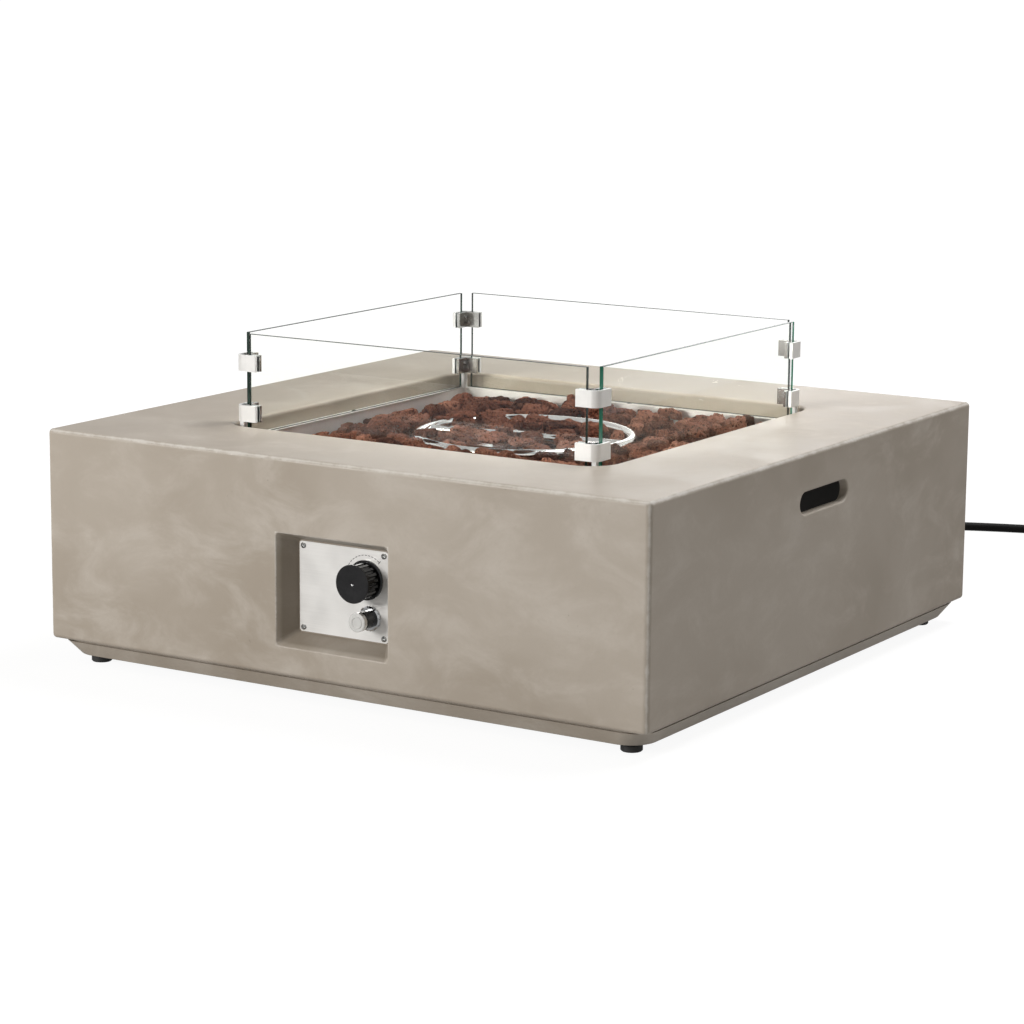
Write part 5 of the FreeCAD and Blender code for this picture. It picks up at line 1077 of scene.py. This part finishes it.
@dataclass
class WindGuard:
    """Four panes with ground edges, and the clips that hold them."""

    finishes: Finishes
    arris: float = 0.0006
    level_share: float = 0.5
    flat_share: float = 0.99

    def pane(self, side: Side) -> None:
        """Build one pane with chamfered edges, a grey top rim and green ends.

        Args:
            side: where it stands.
        """
        node = "glass_pane_" + side.value
        low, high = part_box(node)
        size = high - low
        bm = bmesh.new()
        bmesh.ops.create_cube(bm, size=1.0)
        place = Matrix.Translation((high + low) / 2) @ Matrix.Diagonal((*size, 1.0))
        bmesh.ops.transform(bm, matrix=place, verts=bm.verts)
        bmesh.ops.bevel(bm, geom=list(bm.edges), offset=self.arris, segments=2, profile=0.5, affect="EDGES")
        bmesh.ops.recalc_face_normals(bm, faces=bm.faces)
        thin = min(range(3), key=lambda axis: size[axis])
        for face in bm.faces:
            rim = 1 if abs(face.normal.z) > self.level_share else 2
            face.material_index = 0 if abs(face.normal[thin]) > self.flat_share else rim
        mesh = mesh_of(bm, "pane_" + side.value)
        for finish in ("clear_glass", "rim_grey", "rim_green" if side is Side.RIGHT else "rim_dark"):
            mesh.materials.append(self.finishes.made[finish])
        finished(mesh.name, mesh, "glass", node, body="wind_guard")

    def build(self) -> None:
        """Build the panes and dress the clips."""
        for side in Side:
            self.pane(side)
        dress = self.finishes.dress
        for level in ("upper_clip_", "lower_clip_"):
            dress("satin_clip", *(level + corner.value for corner in Corner))
        dress("clip_plate", "upper_clip_plates", "lower_clip_plates")
        dress("screw_steel", "clip_screws")
        dress("clear_pad", "clip_seals")


@dataclass
class Controls:
    """Control plate, knob, valve and igniter, and the plain marks printed round the knob.

    Angles are in degrees. The end stop is a bar across the arc, this far before the first dash.
    """

    finishes: Finishes
    knob: Span = (0.038, 0.184)
    plate: float = -0.4700
    film: float = 0.00012
    mark_radius: float = 0.0345
    mark_from: float = 52.0
    mark_to: float = 152.0
    dashes: int = 11
    dash_share: float = 0.62
    dash_width: float = 0.0009
    stop: Span = (2.0, 0.6)
    stop_width: float = 0.0056
    steps: int = 3

    def strip(self, bm: bmesh.types.BMesh, start: float, end: float, width: float) -> None:
        """Add one closed strip of ink between two angles.

        Args:
            bm: where it goes.
            start: first angle.
            end: last angle.
            width: width across the arc.
        """
        inner, outer = self.mark_radius - width / 2, self.mark_radius + width / 2
        rings = []
        for step in range(self.steps + 1):
            angle = math.radians(start + (end - start) * step / self.steps)
            ring = []
            for radius, depth in ((inner, 0.0), (outer, 0.0), (outer, self.film), (inner, self.film)):
                ring.append(bm.verts.new((self.knob[0] + radius * math.cos(angle), self.plate - depth,
                                          self.knob[1] + radius * math.sin(angle))))
            rings.append(ring)
        for before, after in zip(rings, rings[1:]):
            for index in range(4):
                bm.faces.new((before[index], before[index - 1], after[index - 1], after[index]))
        bm.faces.new(rings[0])
        bm.faces.new(reversed(rings[-1]))

    def marks(self) -> None:
        """Print a dashed arc and its end stop beside the knob."""
        bm = bmesh.new()
        span = (self.mark_to - self.mark_from) / self.dashes
        for dash in range(self.dashes):
            start = self.mark_from + span * dash
            self.strip(bm, start, start + span * self.dash_share, self.dash_width)
        self.strip(bm, self.mark_from - self.stop[0], self.mark_from - self.stop[1], self.stop_width)
        mesh = mesh_of(bm, "dial_marks")
        mesh.materials.append(self.finishes.made["mark_ink"])
        finished("dial_marks", mesh, "knob_plastic")

    def build(self) -> None:
        """Dress the controls and print the marks."""
        self.marks()
        dress = self.finishes.dress
        dress("brushed_plate", "control_plate")
        dress("screw_steel", "control_plate_screws")
        dress("moulded_black", "knob_bezel", "igniter_barrel", "igniter_plunger")
        dress("knob_face", "control_knob")
        dress("machined_brass", "valve_spindle", "valve_plug")
        dress("die_cast", "gas_valve_body", "feed_pipe")
        dress("chrome", "igniter_bezel")
        dress("zinc_plate", "igniter_nut")
        dress("silver_cap", "igniter_cap")
        dress("cell_jacket", "igniter_battery")


@dataclass
class GasHose:
    """Gas hose on the ground behind the table, its put-away coil, and the fittings at its ends."""

    finishes: Finishes
    thick: float = 0.015
    floor: float = 0.0076
    leave: Point = (0.004, 0.556, 0.075)
    pitch: float = 0.0158
    mean: float = 0.076
    turns: int = 2
    per_turn: int = 16
    tail: float = 0.040
    length: float = 2.905
    bend_from: Span = (0.335, 1.224)
    bend_to: Span = (0.444, 1.240)
    along_steps: int = 8
    round_steps: int = 5

    def run(self) -> list[Point]:
        """Lay control points from the rear inlet to the coil.

        Returns:
            The points.
        """
        return [self.leave, (0.004, 0.626, 0.075), (0.004, 0.716, 0.035), (0.006, 0.800, self.floor),
                (0.014, 0.930, self.floor), (0.060, 1.060, self.floor), (0.150, 1.152, self.floor),
                (*self.bend_from, self.floor)]

    def coil(self) -> list[Point]:
        """Lay control points along the turns and the tail.

        The turns wind in on the ground and out on a second layer. The points stand a little outside them,
        because the curve runs inside its points.

        Returns:
            The points.
        """
        heading = math.atan2(self.bend_to[1] - self.bend_from[1], self.bend_to[0] - self.bend_from[0])
        ahead = Vector((math.cos(heading), math.sin(heading), 0.0))
        outer = self.mean + self.pitch * self.turns / 2
        centre = Vector((*self.bend_to, 0.0)) + Vector((-ahead.y, ahead.x, 0.0)) * outer
        count = 2 * self.turns * self.per_turn
        inside = 0.75 + 0.25 * math.cos(2 * math.pi / self.per_turn)
        points = []
        for step in range(count + 1):
            turned = min(step, count - step) / self.per_turn
            radius = (outer - self.pitch * turned) / inside
            angle = heading - math.pi / 2 + 2 * math.pi * step / self.per_turn
            share = min(1.0, max(0.0, (step - count / 2) / (self.per_turn / 2) + 0.5))
            rise = self.pitch * share * share * (3 - 2 * share)
            points.append((centre.x + radius * math.cos(angle), centre.y + radius * math.sin(angle),
                           self.floor + rise))
        end = Vector((*self.bend_to, self.floor + self.pitch))
        return points + [tuple(end + ahead * (self.tail * share)) for share in (0.5, 1.0)]

    def line(self) -> bpy.types.Curve:
        """Sweep the hose along its points.

        Returns:
            The curve.
        """
        made = bpy.data.curves.new("hose_line", "CURVE")
        made.dimensions = "3D"
        spline = made.splines.new("NURBS")
        points = self.run() + self.coil()
        spline.points.add(len(points) - 1)
        for spot, at in zip(spline.points, points):
            spot.co = (*at, 1.0)
        spline.order_u = 3
        spline.use_endpoint_u = True
        spline.use_smooth = True
        made.resolution_u = self.along_steps
        made.bevel_depth = self.thick / 2
        made.bevel_resolution = self.round_steps
        made.use_fill_caps = True
        made.materials.append(self.finishes.made["hose_rubber"])
        return made

    def build(self) -> None:
        """Lay the hose and dress its fittings."""
        dress = self.finishes.dress
        dress("machined_brass", "inlet_bulkhead", "bulkhead_nut", "hose_nut")
        dress("zinc_plate", "hose_ferrule", "regulator_ferrule")
        dress("grey_enamel", "regulator_body", "regulator_cover")
        dress("moulded_black", "coupling_nut")
        hose = finished("gas_hose_line", self.line(), "hose_rubber", "gas_hose", "gas_hose_coil")


@dataclass
class Lamp:
    """One soft round lamp of the studio."""

    name: str
    at: Point
    width: float
    power: float
    tone: Colour

    def build(self, target: Point) -> None:
        """Set the lamp up.

        Args:
            target: what it faces.
        """
        data = bpy.data.lights.new(self.name, "AREA")
        data.shape = "DISK"
        data.size = self.width
        data.energy = self.power
        data.color = self.tone
        lamp = linked(self.name, data)
        lamp.location = self.at
        lamp.rotation_mode = "QUATERNION"
        lamp.rotation_quaternion = (Vector(target) - Vector(self.at)).to_track_quat("-Z", "Y")


@dataclass
class Studio:
    """Pale floor, white surroundings, soft lamps and the camera.

    turn is the camera's rotation in degrees. The floor glows for the camera by a share that grows with the
    distance from the table, so that it keeps the shadow and is white farther off.
    """

    eye: Point = (2.44057, -3.94827, 1.10234)
    turn: Point = (78.98794, -0.47785, 32.02901)
    lens: float = 110.79
    sensor: float = 36.0
    far: float = 200.0
    floor_radius: float = 40.0
    floor_sides: int = 96
    floor_tones: tuple[Colour, Colour] = ((0.50, 0.50, 0.495), (0.54, 0.54, 0.535))
    floor_clouds: Clouds = Clouds(3.0)
    floor_roughness: float = 0.9
    floor_specular: float = 0.1
    glow: float = 1.2
    glow_share: Span = (0.77, 0.87)
    glow_reach: Span = (0.75, 2.2)
    mirrored: float = 0.62
    floor_mirrored: float = 0.42
    ambient: float = 0.25
    ambient_tone: Colour = (1.0, 0.95, 0.88)
    target: Point = (0.0, 0.0, 0.2)
    lamps: tuple[Lamp, ...] = field(default_factory=lambda: (
        Lamp("front", (-2.2, -4.55, 1.5), 1.6, 152.0, (1.0, 0.985, 0.965)),
        Lamp("top", (1.1, 1.5, 3.9), 2.2, 118.0, (0.98, 0.985, 1.0)),
        Lamp("sheen", (-1.7, 4.5, 1.9), 1.6, 15.0, (0.98, 0.985, 1.0)),
    ))

    def camera(self) -> None:
        """Set the camera up at the photograph's place."""
        data = bpy.data.cameras.new("camera")
        data.lens = self.lens
        data.sensor_width = self.sensor
        data.clip_end = self.far
        eye = linked("camera", data)
        turn = Euler([math.radians(angle) for angle in self.turn])
        eye.matrix_world = Matrix.Translation(self.eye) @ turn.to_matrix().to_4x4()
        bpy.context.scene.camera = eye

    def floor_paint(self) -> bpy.types.Material:
        """Make the floor's material.

        Returns:
            The material, which mirrors and glass see as a plain pale floor too.
        """
        t = Paint("pale_floor")
        glow = t.add("ShaderNodeEmission", {"Color": WHITE, "Strength": self.glow})
        plain = t.add("ShaderNodeEmission", {"Color": WHITE, "Strength": self.floor_mirrored})
        away = t.add("ShaderNodeVectorMath", {0: t.where}, operation="LENGTH").outputs["Value"]
        share = t.times(t.seen(), t.fit(away, self.glow_reach, self.glow_share))
        near = t.mixed(t.light_path("Is Glossy Ray"), t.shader, plain)
        return t.done({"Base Color": t.blend(t.noise(self.floor_clouds), *self.floor_tones),
                       "Roughness": self.floor_roughness, "Specular IOR Level": self.floor_specular},
                      t.mixed(share, near, glow))

    def floor(self) -> None:
        """Lay the floor."""
        bm = bmesh.new()
        bmesh.ops.create_circle(bm, cap_ends=True, segments=self.floor_sides, radius=self.floor_radius)
        mesh = mesh_of(bm, "floor")
        mesh.materials.append(self.floor_paint())
        linked("floor", mesh)

    def surroundings(self) -> None:
        """White surroundings that light the table only a little."""
        world = bpy.data.worlds.new("studio")
        bpy.context.scene.world = world
        world.use_nodes = True
        t = Tree(world.node_tree)
        base = t.tree.nodes["Background"]
        t.join(base, {"Color": (*self.ambient_tone, 1.0), "Strength": self.ambient})
        pale = t.add("ShaderNodeBackground", {"Color": WHITE, "Strength": self.mirrored})
        white = t.add("ShaderNodeBackground", {"Color": WHITE, "Strength": 1.0})
        shown = t.mixed(t.seen(), t.mixed(t.light_path("Is Glossy Ray"), base, pale), white)
        t.join(t.tree.nodes["World Output"], {"Surface": shown.outputs[0]})

    def build(self) -> None:
        """Set the studio up."""
        self.camera()
        self.floor()
        self.surroundings()
        for lamp in self.lamps:
            lamp.build(self.target)
        bpy.context.scene.view_settings.view_transform = "Standard"
        LOG.info("set the studio up")


def main() -> None:
    """Build the whole scene in order."""
    logging.basicConfig(level=logging.INFO, format="%(name)s: %(message)s")
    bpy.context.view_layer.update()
    finishes = Finishes()
    Studio().build()
    for piece in (GasHose, Housing, Burner, LavaBed, WindGuard, Controls):
        piece(finishes).build()


if __name__ == "__main__":
    main()
